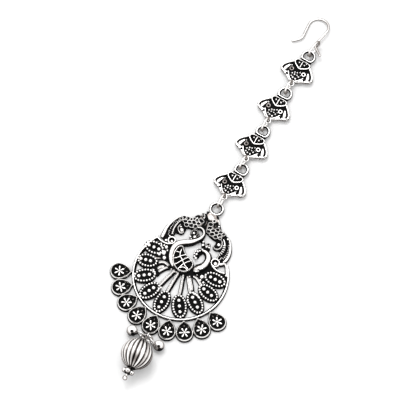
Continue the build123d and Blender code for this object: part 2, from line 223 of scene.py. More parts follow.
# %% [markdown]
# ## A mould that collects solids
# A casting is drawn in wax from a few kinds of pieces: strips, wires, granules, petals and flat
# webs. Each would be slow as an object of its own, so `Casting` gathers their points and faces,
# with the `rubbed` value of each point, and makes one mesh of them at the end.

# %% The Casting class
CREASE = radians(50)
triangle_counts = {}


def ring_faces(rings, size, closed=False, capped=True, flipped=False):
    """The faces between rings of points, and a cap on each end."""
    faces = []
    for k in range(rings if closed else rings - 1):
        here, there = k * size, (k + 1) % rings * size
        for i in range(size):
            j = (i + 1) % size
            faces.append((here + i, there + i, there + j, here + j) if flipped else
                         (here + i, here + j, there + j, there + i))
    if capped and not closed:
        near, far = tuple(range(size)), tuple(range((rings - 1) * size, rings * size))
        faces += [near, far[::-1]] if flipped else [near[::-1], far]
    return faces


class Casting:
    """The wax of one cast piece, in millimetres."""

    def __init__(self, name):
        self.name = name
        self.points, self.faces, self.rubbed = [], [], []

    def add(self, points, faces, rubbed):
        """Adds one closed solid."""
        first = len(self.points)
        self.points.extend(tuple(p) for p in points)
        self.faces.extend(tuple(first + i for i in face) for face in faces)
        self.rubbed.extend(rubbed)

    def add_rings(self, rings, **ends):
        """Adds a skin over rings of (x, y, z, rubbed)."""
        rows = [row for ring in rings for row in ring]
        self.add([row[:3] for row in rows], ring_faces(len(rings), len(rings[0]), **ends),
                 [row[3] for row in rows])

    def cast(self, replaced, finish="casting_patina_and_painted_shade"):
        """Makes the mesh, rides it on the frame and hides the construction nodes behind it."""
        mesh = bpy.data.meshes.new(self.name)
        mesh.from_pydata([tuple(c * MM for c in p) for p in self.points], [], self.faces)
        skin = mesh.attributes.new("rubbed", "FLOAT", "POINT")
        skin.data.foreach_set("value", np.clip(self.rubbed, 0, 1).astype(np.float32))
        mesh.materials.append(silver[finish])
        mesh.polygons.foreach_set("use_smooth", [True] * len(mesh.polygons))
        mesh.set_sharp_from_angle(angle=CREASE)
        mesh.update()
        piece = bpy.data.objects.new(self.name, mesh)
        bpy.context.scene.collection.objects.link(piece)
        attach(piece, "root")
        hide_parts(*replaced)
        triangles = sum(len(face) - 2 for face in self.faces)
        triangle_counts[self.name] = triangles
        print(self.name, "-", len(self.points), "points,", triangles, "triangles")


print("two open rings of 4 points make", len(ring_faces(2, 4)), "faces with their caps")

# %% [markdown]
# ## Smooth lines
# A goldsmith's line is a springy curve through a few places. `smooth_line` runs a Catmull-Rom
# curve through a short list and gives points at even steps along it.

# %% smooth_line
DENSE = 16


def smooth_line(route, step=0.2, closed=False):
    """Even points along a springy curve through a few places, in two or three dimensions."""
    places = [np.array(p, float) for p in route]
    count = len(places)
    spans = count if closed else count - 1

    def place_at(k):
        if closed:
            return places[k % count]
        if k < 0:
            return 2 * places[0] - places[1]
        if k >= count:
            return 2 * places[-1] - places[-2]
        return places[k]

    dense = []
    for k in range(spans):
        a, b, c, d = (place_at(k + i) for i in (-1, 0, 1, 2))
        ab, bc, cd = (max(np.linalg.norm(q - p), 1e-6) ** 0.5 for p, q in ((a, b), (b, c), (c, d)))
        out = ((b - a) / ab - (c - a) / (ab + bc) + (c - b) / bc) * bc
        into = ((c - b) / bc - (d - b) / (bc + cd) + (d - c) / cd) * bc
        for t in np.linspace(0, 1, DENSE, endpoint=False):
            dense.append((2 * t**3 - 3 * t**2 + 1) * b + (t**3 - 2 * t**2 + t) * out
                         + (3 * t**2 - 2 * t**3) * c + (t**3 - t**2) * into)
    dense.append(places[0] if closed else places[-1])
    dense = np.array(dense)
    along = np.r_[0, np.cumsum(np.linalg.norm(np.diff(dense, axis=0), axis=1))]
    samples = max(3, int(round(along[-1] / step)) + 1)
    where = np.linspace(0, along[-1], samples)[:-1 if closed else None]
    return np.stack([np.interp(where, along, column) for column in dense.T], axis=1)


def spread(values, count):
    """A number, or a short list of numbers, spread evenly over a line's points."""
    values = np.atleast_1d(np.array(values, float))
    return np.interp(np.linspace(0, 1, count), np.linspace(0, 1, len(values)), values)


print("a quarter bend of 3 mm:", len(smooth_line([(3, 0), (2.1, 2.1), (0, 3)])), "points")

# %% [markdown]
# ## Strips
# Most of the ornament is strip: a ridge with a flat foot that follows a line. The section is a
# superellipse, so one number, `crown`, makes it a sharp ridge (1.2), half round (2) or nearly
# square (4). The ends are rounded off by shrinking the last sections like a semicircle.
#
# The stored `rubbed` number rises from the foot to the crest. `shade` paints shade on the
# flanks of a broad dome, `dull` leaves tarnish on the whole strip or on a stretch of it, and
# `skirt` is the black ledge that outlines the strip.

# %% strip
ARCH = 9
SKIRT = 0.2
LEDGE = 0.4
END_HEIGHT = 0.55


def along_and_across(line, closed=False):
    """The direction of a flat line at each of its points, and the direction to its right."""
    if closed:
        run = np.roll(line, -1, axis=0) - np.roll(line, 1, axis=0)
    else:
        run = np.gradient(line, axis=0)
    run /= np.maximum(np.linalg.norm(run, axis=1), 1e-9)[:, None]
    return run, np.stack([run[:, 1], -run[:, 0]], axis=1)


def strip(wax, route, half_width, bottom, top, crown=2.0, closed=False, step=0.2, dull=0.0,
          skirt=SKIRT, shade=1.0):
    """A ridge along a line, on a flat black foot."""
    if len(route) == 2:
        (x0, y0), (x1, y1) = route
        route = [route[0], ((x0 + x1) / 2, (y0 + y1) / 2), route[1]]
    line = smooth_line(route, step, closed)
    count = len(line)
    half, crest, kept = spread(half_width, count), spread(top, count), 1 - spread(dull, count)
    foot = np.full(count, float(skirt))
    if not closed:
        gap = np.r_[0, np.cumsum(np.linalg.norm(np.diff(line, axis=0), axis=1))]
        near = np.minimum(gap, gap[-1] - gap)
        ease = np.clip(near / np.maximum(half, 0.05), 0, 1)
        shrink = np.sqrt(np.clip(1 - (1 - ease) ** 2, 0.02, 1))
        half, foot = half * shrink, foot * shrink
        crest = bottom + (crest - bottom) * (END_HEIGHT + (1 - END_HEIGHT) * shrink)
    side = along_and_across(line, closed)[1]
    turn = np.linspace(0, pi, ARCH)
    across = np.sign(np.cos(turn)) * np.abs(np.cos(turn)) ** (2 / crown)
    rise = np.sin(turn) ** (2 / crown)
    rings = []
    for k in range(count):
        ledge = bottom + (crest[k] - bottom) * LEDGE
        wide = half[k] + foot[k]
        section = [(wide, bottom, 0.0), (wide, ledge, 0.0)]
        # The number falls towards the flanks faster as `shade` grows: painted shade on broad
        # domes.
        section += [(half[k] * u, ledge + (crest[k] - ledge) * v, v ** shade * kept[k])
                    for u, v in zip(across, rise)]
        section += [(-wide, ledge, 0.0), (-wide, bottom, 0.0)]
        rings.append([(*(line[k] + side[k] * u), level, worn) for u, level, worn in section])
    wax.add_rings(rings, closed=closed)


def ridges(wax, rows, **shared):
    """The strips of a table, with the settings that they share."""
    for route, half_width, bottom, top, own in rows:
        strip(wax, route, half_width, bottom, top, **{**shared, **own})


print("a strip's section has", ARCH + 4, "points")

# %% [markdown]
# ## Wires and granules
# Round wire is a circle carried along a line in space without twisting. A granule is a tiny
# melted ball. Both come from unit shapes that are scaled and moved, which is much faster than
# adding thousands of objects.

# %% wire and granule
def wire(wax, route, radius, closed=False, step=0.25, sides=12, worn=1.0):
    """Round wire along a line in space, black underneath: tarnish the cloth misses, and painted
    shade.
    """
    line = smooth_line(route, step, closed)
    run = (np.roll(line, -1, axis=0) - np.roll(line, 1, axis=0)) if closed else np.gradient(
        line, axis=0)
    run /= np.linalg.norm(run, axis=1)[:, None]
    up = np.array([0.0, 0.0, 1.0]) if abs(run[0][2]) < 0.9 else np.array([1.0, 0.0, 0.0])
    rings = []
    for place, ahead in zip(line, run):
        up = up - ahead * np.dot(up, ahead)
        up /= np.linalg.norm(up)
        out = np.cross(ahead, up)
        turns = [2 * pi * i / sides for i in range(sides)]
        # The number follows how far the surface faces up: tarnish left underneath, and painted
        # shade on the lower flanks.
        rings.append([(*(place + radius * (cos(t) * up + sin(t) * out)),
                       0.9 * (cos(t) * up + sin(t) * out)[2] * worn) for t in turns])
    wax.add_rings(rings, closed=closed)


def square_to(axis):
    """An axis of length 1 and two directions square to it and to each other."""
    axis = Vector(axis).normalized()
    first = axis.orthogonal().normalized()
    return axis, first, axis.cross(first)


def ring_line(middle, axis, radius, count=24):
    """Places round a circle in space."""
    axis, first, second = square_to(axis)
    return [tuple(Vector(middle) + radius * (first * cos(2 * pi * k / count)
                                             + second * sin(2 * pi * k / count)))
            for k in range(count)]


ball_builder = bmesh.new()
bmesh.ops.create_icosphere(ball_builder, subdivisions=3, radius=1)
BALL_POINTS = np.array([v.co[:] for v in ball_builder.verts])
BALL_FACES = [tuple(v.index for v in f.verts) for f in ball_builder.faces]
ball_builder.free()
melt = random.Random(7)


def granule(wax, x, y, z, radius, uneven=0.05, dull=0.0):
    """A melted ball, never quite round, black where it is soldered down."""
    sizes = [radius * (1 + melt.uniform(-uneven, uneven)) for axis in range(3)]
    rubbed = (BALL_POINTS[:, 2] + 0.35) * (1 - dull)
    wax.add(BALL_POINTS * sizes + (x, y, z), BALL_FACES, rubbed.tolist())


print("a granule has", len(BALL_FACES), "triangles")

# %% [markdown]
# ## Webs
# Floors, nets and patches are flat webs. The outline is a smooth closed line; its walls go
# straight down, and a narrow chamfer catches the light where the edge is worn. The two flat
# faces are filled with triangles, which works for a curved outline where one large face would
# fold over itself.

# %% web, arc and oval
CHAMFER = 0.14


def inward(line, distance):
    """A closed line moved to its left by a small distance."""
    return line - along_and_across(line, True)[1] * distance


def turned_left(line):
    """The closed line, running anticlockwise."""
    x, y = line[:, 0], line[:, 1]
    area = np.dot(x, np.roll(y, -1)) - np.dot(y, np.roll(x, -1))
    return line if area > 0 else line[::-1]


def web(wax, outline, bottom, top, face_rubbed=0.0, edge_rubbed=0.0, step=0.3):
    """A flat web between two levels, with a narrow chamfer round its top."""
    rim = turned_left(smooth_line(outline, step, True))
    count = len(rim)
    layers = [
        # line, level, rubbed
        (rim, bottom, edge_rubbed * 0.4),
        (rim, top - CHAMFER * 0.8, edge_rubbed * 0.4),
        (inward(rim, CHAMFER * 0.35), top - CHAMFER * 0.25, edge_rubbed),
        (inward(rim, CHAMFER), top, max(edge_rubbed * 0.8, face_rubbed)),
        (inward(rim, CHAMFER * 2.2), top, face_rubbed),
    ]
    points = [(x, y, level) for line, level, worn in layers for x, y in line]
    faces = ring_faces(len(layers), count, capped=False)
    for first, line, upward in (((len(layers) - 1) * count, layers[-1][0], True),
                                (0, rim, False)):
        for triangle in tessellate_polygon([[Vector((x, y, 0)) for x, y in line]]):
            a, b, c = (line[i] for i in triangle)
            up = (b[0] - a[0]) * (c[1] - a[1]) - (b[1] - a[1]) * (c[0] - a[0]) > 0
            corners = triangle if up == upward else tuple(reversed(triangle))
            faces.append(tuple(first + i for i in corners))
    wax.add(points, faces, [worn for line, level, worn in layers for place in line])


def turned(points, turn, centre):
    """Places turned about the origin and then moved to a centre."""
    c, s = cos(radians(turn)), sin(radians(turn))
    return [(centre[0] + x * c - y * s, centre[1] + x * s + y * c) for x, y in points]


def arc(middle, radius, angles):
    """Places on a circle, at angles in degrees."""
    return [(middle[0] + radius * cos(radians(a)), middle[1] + radius * sin(radians(a)))
            for a in angles]


def oval(x, y, half_long, half_wide, turn=0.0, count=20):
    """Places round an ellipse."""
    flat = [(half_long * cos(2 * pi * k / count), half_wide * sin(2 * pi * k / count))
            for k in range(count)]
    return turned(flat, turn, (x, y))


print("a web's chamfer is", CHAMFER, "mm wide")

# %% [markdown]
# ## The pendant's rim and teardrops
# The fan of feathers is framed by a heavy wire, and nine teardrops stand outside it. A teardrop
# is a sunk floor with a rounded wall, and in it lies a flower of six petals with a granule in
# its heart. All nine are one shape turned round the pendant.

# %% Rim and teardrops
RIM_CENTRE = (-0.35, -0.2)
RIM_RADIUS = 18.95
RIM_ENDS = (147.0, 403.0)
TEARDROPS = 9
TEAR_CENTRE = (-0.2, 0.0)
TEAR_TIP = 19.3
TEAR_BULB = 24.85
TEAR_RADIUS = 3.55
TEAR_STEP = 16.2
FLOWER_REACH = 2.2
FLOOR_LEVEL = 0.95


def teardrop_line(inset):
    """A teardrop's outline on the X axis, its tip inwards."""
    radius = TEAR_RADIUS - inset
    upper = arc((TEAR_BULB, 0), radius, (0, 28, 56, 84, 110))
    tip = (TEAR_TIP + 1.6 * inset, 0.0)
    flank = ((upper[-1][0] + tip[0]) / 2 - 0.3, upper[-1][1] * 0.5 + 0.3)
    near_tip = (tip[0] + 0.45, 0.42)
    half = upper + [flank, near_tip]
    return half + [tip] + [(x, -y) for x, y in reversed(half[1:])]


rim = Casting("pendant_rim")
for radius, half, top, dull in ((RIM_RADIUS, 0.36, 1.75, 0.0), (RIM_RADIUS - 0.5, 0.34, 1.0, 1.0)):
    strip(rim, arc(RIM_CENTRE, radius, np.linspace(*RIM_ENDS, 40)), half, 0.04 + 0.01 * dull, top,
          crown=2.4, skirt=0.14, dull=dull, shade=1.4)
rim.cast(["pendant"])

teardrops = Casting("pendant_teardrops")
for k in range(TEARDROPS):
    turn = 270 + TEAR_STEP * (k - TEARDROPS // 2)
    wall = turned(teardrop_line(0.34), turn, TEAR_CENTRE)
    strip(teardrops, wall, 0.24, 0.0, 2.0, crown=2.4, closed=True, skirt=0.2)
    web(teardrops, turned(teardrop_line(0.2), turn, TEAR_CENTRE), 0.02, FLOOR_LEVEL)
    heart = TEAR_BULB - 0.2
    for ray in range(6):
        angle = radians(60 * ray + 30)
        petal = [(heart + r * cos(angle), r * sin(angle)) for r in (0.2, 1.1, FLOWER_REACH)]
        strip(teardrops, turned(petal, turn, TEAR_CENTRE), [0.18, 0.3, 0.43, 0.36], 0.9,
              [1.6, 1.75, 1.8], crown=2.0, step=0.15, skirt=0, shade=1.6)
    for route in ([(heart - 2.5, 0), (heart - 3.4, 0)], [(heart - 2.6, 1.5), (heart - 1.9, 1.9)],
                  [(heart - 2.6, -1.5), (heart - 1.9, -1.9)]):
        strip(teardrops, turned(route, turn, TEAR_CENTRE), [0.2, 0.28, 0.14], 0.9, 1.3, dull=0.6,
              skirt=0)
    x, y = turned([(heart, 0)], turn, TEAR_CENTRE)[0]
    granule(teardrops, x, y, 1.5, 0.44)
teardrops.cast(["pendant"])

# %% [markdown]
# ## The fan of feathers
# Each of the peacock's nine feathers is an oval of black floor with three large granules down
# its middle and a border of small ones. The ovals get longer towards the bottom of the fan. A
# table holds where each lies; the granules are set round it by a loop.

# %% Feathers
FEATHERS = [
    # x,     y,    turn,  half_long, half_wide, hearts out, hearts apart
    (-15.4, 5.1, 185.0, 3.6, 2.25, 0.15, 2.1),
    (-15.05, -1.05, 195.0, 3.7, 2.35, 0.72, 1.95),
    (-12.85, -7.2, 217.0, 4.1, 2.35, 0.2, 2.13),
    (-7.9, -11.9, 244.5, 4.3, 2.45, 0.21, 2.1),
    (-1.35, -13.6, 273.0, 4.6, 2.4, 0.3, 2.4),
    (5.75, -12.0, 304.5, 4.6, 2.5, 0.0, 2.45),
    (10.4, -7.6, 324.0, 4.6, 2.45, -0.1, 2.3),
    (12.9, -1.4, 346.5, 4.25, 2.4, -0.3, 2.06),
    (12.45, 4.9, 360.0, 4.2, 2.35, 0.1, 2.1),
]
SMALL_GRANULE = 0.43
LARGE_GRANULE = 0.74
GRANULE_PITCH = 1.14
FLOOR_BEYOND_END = 0.6
FLOOR_BEYOND_SIDE = 0.85


def feather(wax, x, y, turn, half_long, half_wide, out, apart, number):
    """An oval floor with its three large granules and its granulated border."""
    outline = oval(x, y, half_long + FLOOR_BEYOND_END, half_wide + FLOOR_BEYOND_SIDE, turn, 28)
    web(wax, outline, 0.03 + 0.004 * number, 1.0)
    border = smooth_line(oval(x, y, half_long, half_wide, turn, 40), GRANULE_PITCH, True)
    for px, py in border:
        granule(wax, px, py, 1.4, SMALL_GRANULE, 0.08)
    for step in (-1, 0, 1):
        px, py = turned([(out + apart * step, 0)], turn, (x, y))[0]
        granule(wax, px, py, 1.4, LARGE_GRANULE)


feathers = Casting("pendant_feathers")
for number, row in enumerate(FEATHERS):
    feather(feathers, *row, number)
feathers.cast(["pendant"])

# %% [markdown]
# ## Stems
# Bright ribs carry the feathers out from under the bird. Between them the table shows through.
# They start on a black web under the bird, the hub of the fan. A black foot beside each rib
# paints its shade on its right side.

# %% Stems and hub
STEMS = [
    [(-10.8, 0.1), (-10.0, 1.0), (-9.0, 1.5), (-7.6, 1.5), (-6.4, 1.0)],
    [(-6.4, 0.4), (-7.4, -0.5), (-8.3, -1.9), (-9.0, -3.2)],
    [(-7.9, 0.2), (-9.1, -0.9), (-10.0, -2.3)],
    [(-3.6, 0.9), (-4.2, -2.0), (-4.9, -4.6), (-5.4, -6.8), (-5.9, -8.2)],
    [(-1.7, 0.7), (-1.75, -3.0), (-1.75, -6.2), (-1.7, -9.4)],
    [(0.4, 0.8), (1.3, -2.0), (2.2, -4.4), (2.9, -6.6), (3.4, -8.2)],
    [(2.1, 1.0), (3.5, -0.9), (4.8, -2.6), (6.0, -4.2), (6.6, -5.0)],
    [(3.3, 1.0), (4.6, -0.8), (5.8, -2.2), (6.8, -3.8)],
    [(4.0, 2.0), (5.6, 1.9), (7.0, 1.2), (8.4, 0.3), (9.2, -0.5)],
]
STEM_HALF = [0.5, 0.62, 0.66, 0.6]
SHADE_FOOT_SIDEWAYS = 0.72


def stem(wax, route, number):
    """A bright rib on a black foot that shows on its right side as painted shade."""
    foot = [(x + SHADE_FOOT_SIDEWAYS, y) for x, y in route]
    strip(wax, foot, 0.42, 0.05 + 0.004 * number, 1.15, dull=1.0, skirt=0.0)
    strip(wax, route, STEM_HALF, 0.06 + 0.004 * number, [1.6, 1.7, 1.65, 1.4], skirt=0.1,
          shade=1.6)
    strip(wax, route, 0.1, 1.3, [1.68, 1.78, 1.73, 1.5], dull=0.62, skirt=0.0)


fan_stems = Casting("pendant_stems")
for number, route in enumerate(STEMS):
    stem(fan_stems, route, number)
HUB = [(-8.3, 4.6), (-6.8, 1.5), (-4.4, 0.6), (-1.5, 0.3), (1.4, 0.4), (3.6, 1.2), (5.6, 2.5),
       (4.6, 5.0), (-2.0, 6.4)]
LEFT_LINK = [(-13.2, 8.9), (-10.4, 9.2), (-9.2, 7.0), (-8.6, 4.4), (-8.0, 2.2), (-10.6, 2.0),
             (-13.0, 2.2), (-13.4, 5.0)]
RIGHT_LINK = [(7.0, 10.2), (8.2, 9.1), (10.6, 8.5), (13.2, 8.4), (15.4, 8.9), (17.0, 7.8),
              (17.3, 5.8), (14.0, 6.4), (9.4, 6.6), (9.2, 3.0), (9.8, 1.3), (8.2, 0.7),
              (4.8, 2.0), (5.0, 4.4), (6.4, 6.4), (6.6, 8.6)]
LEFT_ROOT = [(-11.4, 0.5), (-9.0, 1.5), (-6.2, 1.2), (-5.4, 0.2), (-6.6, -1.0), (-7.7, -3.0),
             (-8.3, -5.0), (-9.4, -4.4), (-10.4, -3.6), (-11.4, -2.8)]
for outline, bottom, top in ((HUB, 0.1, 1.05), (LEFT_LINK, 0.104, FLOOR_LEVEL),
                             (RIGHT_LINK, 0.108, FLOOR_LEVEL), (LEFT_ROOT, 0.112, 0.9)):
    web(fan_stems, outline, bottom, top)
LUMPS = [
    # x,    y,    level, radius
    (-11.2, 7.6, 1.15, 0.8),
    (-12.4, 7.9, 1.1, 0.45),
    (-10.9, 5.0, 1.2, 1.05),
    (-12.3, 3.6, 1.15, 0.7),
    (-9.7, 3.2, 1.2, 0.85),
    (-10.2, 6.6, 1.1, 0.45),
    (7.3, 3.4, 1.2, 0.9),
    (8.3, 4.7, 1.1, 0.5),
    (9.0, 1.6, 0.9, 0.6),
    (7.4, 1.9, 0.9, 0.5),
    (6.8, -4.6, 1.1, 0.5),
    (8.3, -4.4, 1.1, 0.6),
    (9.4, -4.4, 1.1, 0.6),
    (10.4, -4.8, 1.1, 0.55),
    (7.3, -8.4, 1.1, 0.42),
    (-4.6, -8.6, 1.1, 0.5),
    (-5.0, -9.8, 1.1, 0.42),
    (-10.9, -3.5, 1.1, 0.5),
    (-10.0, -4.0, 1.1, 0.42),
]
for x, y, level, radius in LUMPS:
    granule(fan_stems, x, y, level, radius)
for x, y in ((-6.7, 1.5), (-4.9, 0.4), (-3.1, 0.0), (-2.4, 0.3), (0.5, 0.2), (3.0, 1.2),
             (5.2, 3.2)):
    granule(fan_stems, x, y, FLOOR_LEVEL, 0.34, dull=0.55)
strip(fan_stems, [(-14.2, 8.2), (-13.4, 7.5), (-12.7, 6.5)], 0.3, 0.9, 1.5)
strip(fan_stems, [(-13.6, 1.6), (-12.2, 1.7), (-10.8, 2.4)], [0.2, 0.5, 0.2], 0.2, 1.4, dull=0.5)
fan_stems.cast(["pendant"])

# %% [markdown]
# ## The peacock
# The bird looks to the left, its neck a thick domed band that sweeps down into the chest, its
# body a comma filled with an open net, and its tail a heavy curl behind it. The thick bands are
# strips with a varying width; the net is thin strips over a black floor.

# %% Peacock: neck, body, tail
NECK_LINE = [(-4.6, 20.8), (-3.3, 21.35), (-1.9, 21.0), (-0.9, 19.8), (-0.8, 18.2), (-1.6, 16.4),
             (-3.4, 14.4), (-5.8, 12.8), (-7.8, 11.1), (-8.6, 9.0), (-8.4, 6.8), (-7.6, 4.6),
             (-6.3, 2.8), (-4.8, 1.6)]
NECK_HALF_WIDTHS = [0.4, 0.5, 0.55, 0.65, 0.8, 1.1, 1.35, 1.35, 1.35, 1.25, 1.15, 1.05, 0.85,
                    0.5]
BODY_RIM = [(-5.6, 10.7), (-4.5, 9.7), (-3.2, 8.6), (-1.4, 7.8), (0.4, 7.1), (1.6, 6.1),
            (1.9, 4.6), (1.3, 2.9), (0.2, 1.7), (-1.8, 1.2), (-3.8, 1.8), (-5.6, 3.3), (-6.8, 5.5),
            (-7.2, 7.9), (-6.8, 10.0)]
BODY_NET = [
    # the long middle line, then the lines across it
    [(-5.4, 9.7), (-5.1, 8.0), (-4.4, 6.6), (-2.8, 5.7), (-1.6, 4.5), (-0.1, 3.8), (1.3, 3.2)],
    [(-7.0, 7.7), (-6.1, 7.8), (-5.1, 8.0)],
    [(-6.2, 4.6), (-5.3, 5.4), (-4.4, 6.6), (-3.5, 7.6), (-2.6, 8.3)],
    [(-4.7, 2.4), (-4.0, 3.4), (-2.8, 5.7), (-2.1, 6.8), (-1.3, 7.8)],
    [(-2.5, 1.4), (-2.3, 2.4), (-1.6, 4.5), (-0.9, 5.6), (0.3, 7.0)],
    [(-2.2, 2.2), (-1.3, 3.0), (-0.3, 3.2), (0.7, 2.8), (1.2, 2.4)],
]
TAIL_LINE = [(1.8, 13.2), (3.3, 13.3), (4.9, 12.6), (5.9, 11.2), (6.15, 9.6), (5.9, 8.0),
             (5.1, 6.5), (4.0, 5.3), (2.7, 4.5)]
TAIL_HALF_WIDTHS = [0.5, 0.75, 1.05, 1.25, 1.3, 1.45, 1.7, 1.9, 1.8]

bird = Casting("pendant_peacock")
strip(bird, NECK_LINE, NECK_HALF_WIDTHS, 0.12,
      [2.2, 2.5, 2.6, 2.65, 2.7, 2.7, 2.7, 2.6, 2.5, 2.4, 2.3, 2.2, 2.0, 1.8], shade=4.0,
      skirt=0.12)
strip(bird, [(-0.75, 17.6), (-1.5, 15.9), (-3.9, 13.7)], [0.2, 0.5, 0.2], 1.5, 2.45, dull=0.78,
      skirt=0.0)
web(bird, BODY_RIM, 0.09, 1.25)
strip(bird, BODY_RIM, 0.28, 0.13, 2.5, crown=2.4, closed=True, skirt=0.25)
for line in BODY_NET:
    strip(bird, line, 0.22, 1.1, 2.3, crown=2.4, skirt=0)
strip(bird, TAIL_LINE, TAIL_HALF_WIDTHS, 0.12, [2.1, 2.4, 2.55, 2.6, 2.5, 2.3, 2.1, 1.9, 1.7],
      shade=3.4, skirt=0.3, dull=[0, 0, 0, 0, 0.05, 0.15, 0.3, 0.4, 0.45])
for route in ([(6.7, 8.8), (5.7, 7.7), (4.7, 6.9)], [(6.3, 6.6), (5.3, 5.7), (4.3, 5.2)],
              [(5.4, 4.8), (4.3, 4.0), (3.2, 3.6)]):
    strip(bird, route, [0.15, 0.35, 0.15], 1.6, 2.5, skirt=0.3)

# %% [markdown]
# The head has a ringed eye, cheek granules and a short beak on a black floor, and the crest and
# the inner edge of the tail are granules of different sizes on a thin black branch.

# %% Peacock: head, crest and tail granules
HEAD_FLOOR = [(-5.6, 18.4), (-5.3, 19.3), (-4.4, 19.6), (-3.6, 19.2), (-3.2, 18.0), (-2.7, 17.0),
              (-2.6, 16.0), (-4.2, 15.4), (-5.4, 15.8)]
GRANULES = [
    # x,    y,    level, radius
    (-4.6, 18.1, 1.5, 0.5),
    (-5.2, 16.2, 1.3, 0.5),
    (-3.5, 16.8, 1.4, 0.7),
    (-4.4, 15.6, 1.2, 0.36),
    (0.5, 16.8, 1.3, 0.5),
    (1.0, 15.5, 1.3, 0.62),
    (3.7, 15.7, 1.3, 0.42),
    (2.6, 15.5, 1.2, 0.5),
    (1.8, 13.6, 1.5, 0.45),
    (1.2, 12.7, 1.3, 0.42),
    (-0.1, 13.0, 1.2, 0.35),
    (0.6, 12.0, 1.4, 0.48),
    (-0.3, 11.7, 1.3, 0.45),
    (0.75, 10.8, 1.4, 0.52),
    (-0.2, 10.7, 1.2, 0.42),
    (0.4, 9.6, 1.3, 0.48),
    (1.3, 9.1, 1.4, 0.58),
]
BRANCHES = [
    [(2.5, 13.2), (2.3, 14.6), (2.8, 16.2)],
    [(2.3, 14.5), (1.3, 15.2), (0.5, 16.6), (-0.5, 16.8)],
    [(2.5, 14.6), (3.6, 15.0), (4.4, 15.2)],
    [(1.9, 13.5), (1.0, 12.8), (0.5, 11.6), (0.5, 10.4), (0.9, 9.2)],
    [(2.3, 12.5), (1.8, 11.6), (1.55, 10.4), (1.6, 9.4)],
]
BRANCH_HALF_WIDTHS = [0.5, 0.55, 0.5, 0.75, 0.3]
web(bird, HEAD_FLOOR, 0.1, 1.1)
strip(bird, [(-3.3, 17.6), (-3.2, 18.6), (-3.8, 19.4), (-4.7, 19.6), (-5.5, 19.0), (-5.7, 18.0),
             (-5.3, 17.2)], 0.22, 0.2, 1.8, skirt=0.2)
strip(bird, [(-2.9, 19.2), (-2.4, 18.2), (-2.6, 17.0), (-3.6, 15.9)], [0.15, 0.22, 0.22, 0.15],
      0.2, 1.6, skirt=0.1)
for route, half in zip(BRANCHES, BRANCH_HALF_WIDTHS):
    strip(bird, route, half, 0.15, 1.0, crown=4.0, dull=1.0)
web(bird, oval(2.75, 16.7, 0.75, 0.75), 0.15, 0.9)
strip(bird, oval(2.75, 16.7, 0.62, 0.62), 0.2, 0.16, 1.6, closed=True, skirt=0.12)
for x, y, level, radius in GRANULES:
    granule(bird, x, y, level, radius)
bird.cast(["pendant"])

# %% [markdown]
# ## The arches
# Two arches close the frame above the bird. Each has a plain crescent outside, milled along its
# inner edge, a black channel, a second milled strip, a scroll with a domed heart and a small
# ring curl at its foot. The milling is a row of short ribs set square to the line.

# %% Helpers for the arches
def milled_edge(wax, route, pitch, length, bottom, top, half_width=0.17, dull=0.0):
    """Short ribs square to a line."""
    line = smooth_line(route, pitch)
    for middle, out in zip(line, along_and_across(line)[1]):
        inner, outer = middle - out * length / 2, middle + out * length / 2
        strip(wax, [tuple(inner), tuple(outer)], half_width, bottom, top, step=0.15, skirt=0,
              dull=dull)
    return len(line)


def ring_curl(wax, x, y, radius, heart):
    """A small ring with a domed heart that has kept some of its tarnish."""
    strip(wax, oval(x, y, radius, radius), 0.3, 0.14, 1.95, crown=2.6, closed=True, skirt=0.12)
    web(wax, oval(x, y, radius, radius), 0.12, FLOOR_LEVEL)
    granule(wax, x + 0.15, y - 0.15, FLOOR_LEVEL, heart, dull=0.45)


# %% [markdown]
# The left arch stands over the bird's head. Its scroll curls inwards under the net.

# %% Left arch
LEFT_CRESCENT = [(-12.6, 22.1), (-13.6, 20.4), (-14.5, 18.3), (-15.05, 16.1), (-15.15, 14.0),
                 (-15.0, 12.0), (-14.9, 10.2)]
LEFT_RECESS = [(-12.7, 20.1), (-13.5, 18.4), (-13.8, 16.5), (-13.7, 14.6), (-13.3, 12.9)]
LEFT_CORD = [(-11.9, 20.4), (-12.4, 18.8), (-12.6, 17.0), (-12.4, 15.2), (-12.0, 13.7)]
LEFT_FLOOR = [(-12.4, 21.8), (-14.0, 19.2), (-14.7, 16.2), (-14.7, 13.0), (-14.2, 10.2),
              (-12.6, 9.2), (-10.6, 9.4), (-9.4, 10.6), (-9.6, 12.2), (-11.0, 12.9), (-11.0, 14.9),
              (-9.6, 15.1), (-8.5, 15.6), (-8.2, 17.2), (-8.2, 18.6), (-7.4, 19.3), (-9.0, 20.2),
              (-11.0, 20.6)]
LEFT_SCROLL = [(-10.9, 19.0), (-11.3, 18.1), (-11.2, 17.0), (-10.5, 16.1), (-9.5, 15.6),
               (-8.8, 15.9), (-8.5, 16.8)]
left_arch = Casting("pendant_left_arch")
web(left_arch, LEFT_FLOOR, 0.07, FLOOR_LEVEL)
strip(left_arch, LEFT_CRESCENT, [0.3, 0.45, 0.55, 0.6, 0.7, 0.85, 0.85], 0.05,
      [1.9, 2.1, 2.2, 2.2, 2.2, 2.1, 1.9], skirt=0.1, shade=3.6)
ribs = milled_edge(left_arch, LEFT_RECESS, 0.8, 0.6, 0.9, 1.5, 0.17, dull=0.2)
strip(left_arch, LEFT_CORD, 0.22, 0.9, 1.7)
ribs += milled_edge(left_arch, LEFT_CORD, 0.8, 0.95, 0.9, 2.1, 0.24)
print("milled ribs on the left arch:", ribs)
strip(left_arch, LEFT_SCROLL, [0.22, 0.28, 0.3, 0.3, 0.28, 0.22], 0.16, [1.8, 2.0, 2.0, 1.9])
granule(left_arch, -9.5, 17.1, 1.1, 0.82, dull=0.2)
granule(left_arch, -10.5, 18.1, 1.3, 0.4)
ring_curl(left_arch, -10.8, 11.1, 1.4, 0.62)
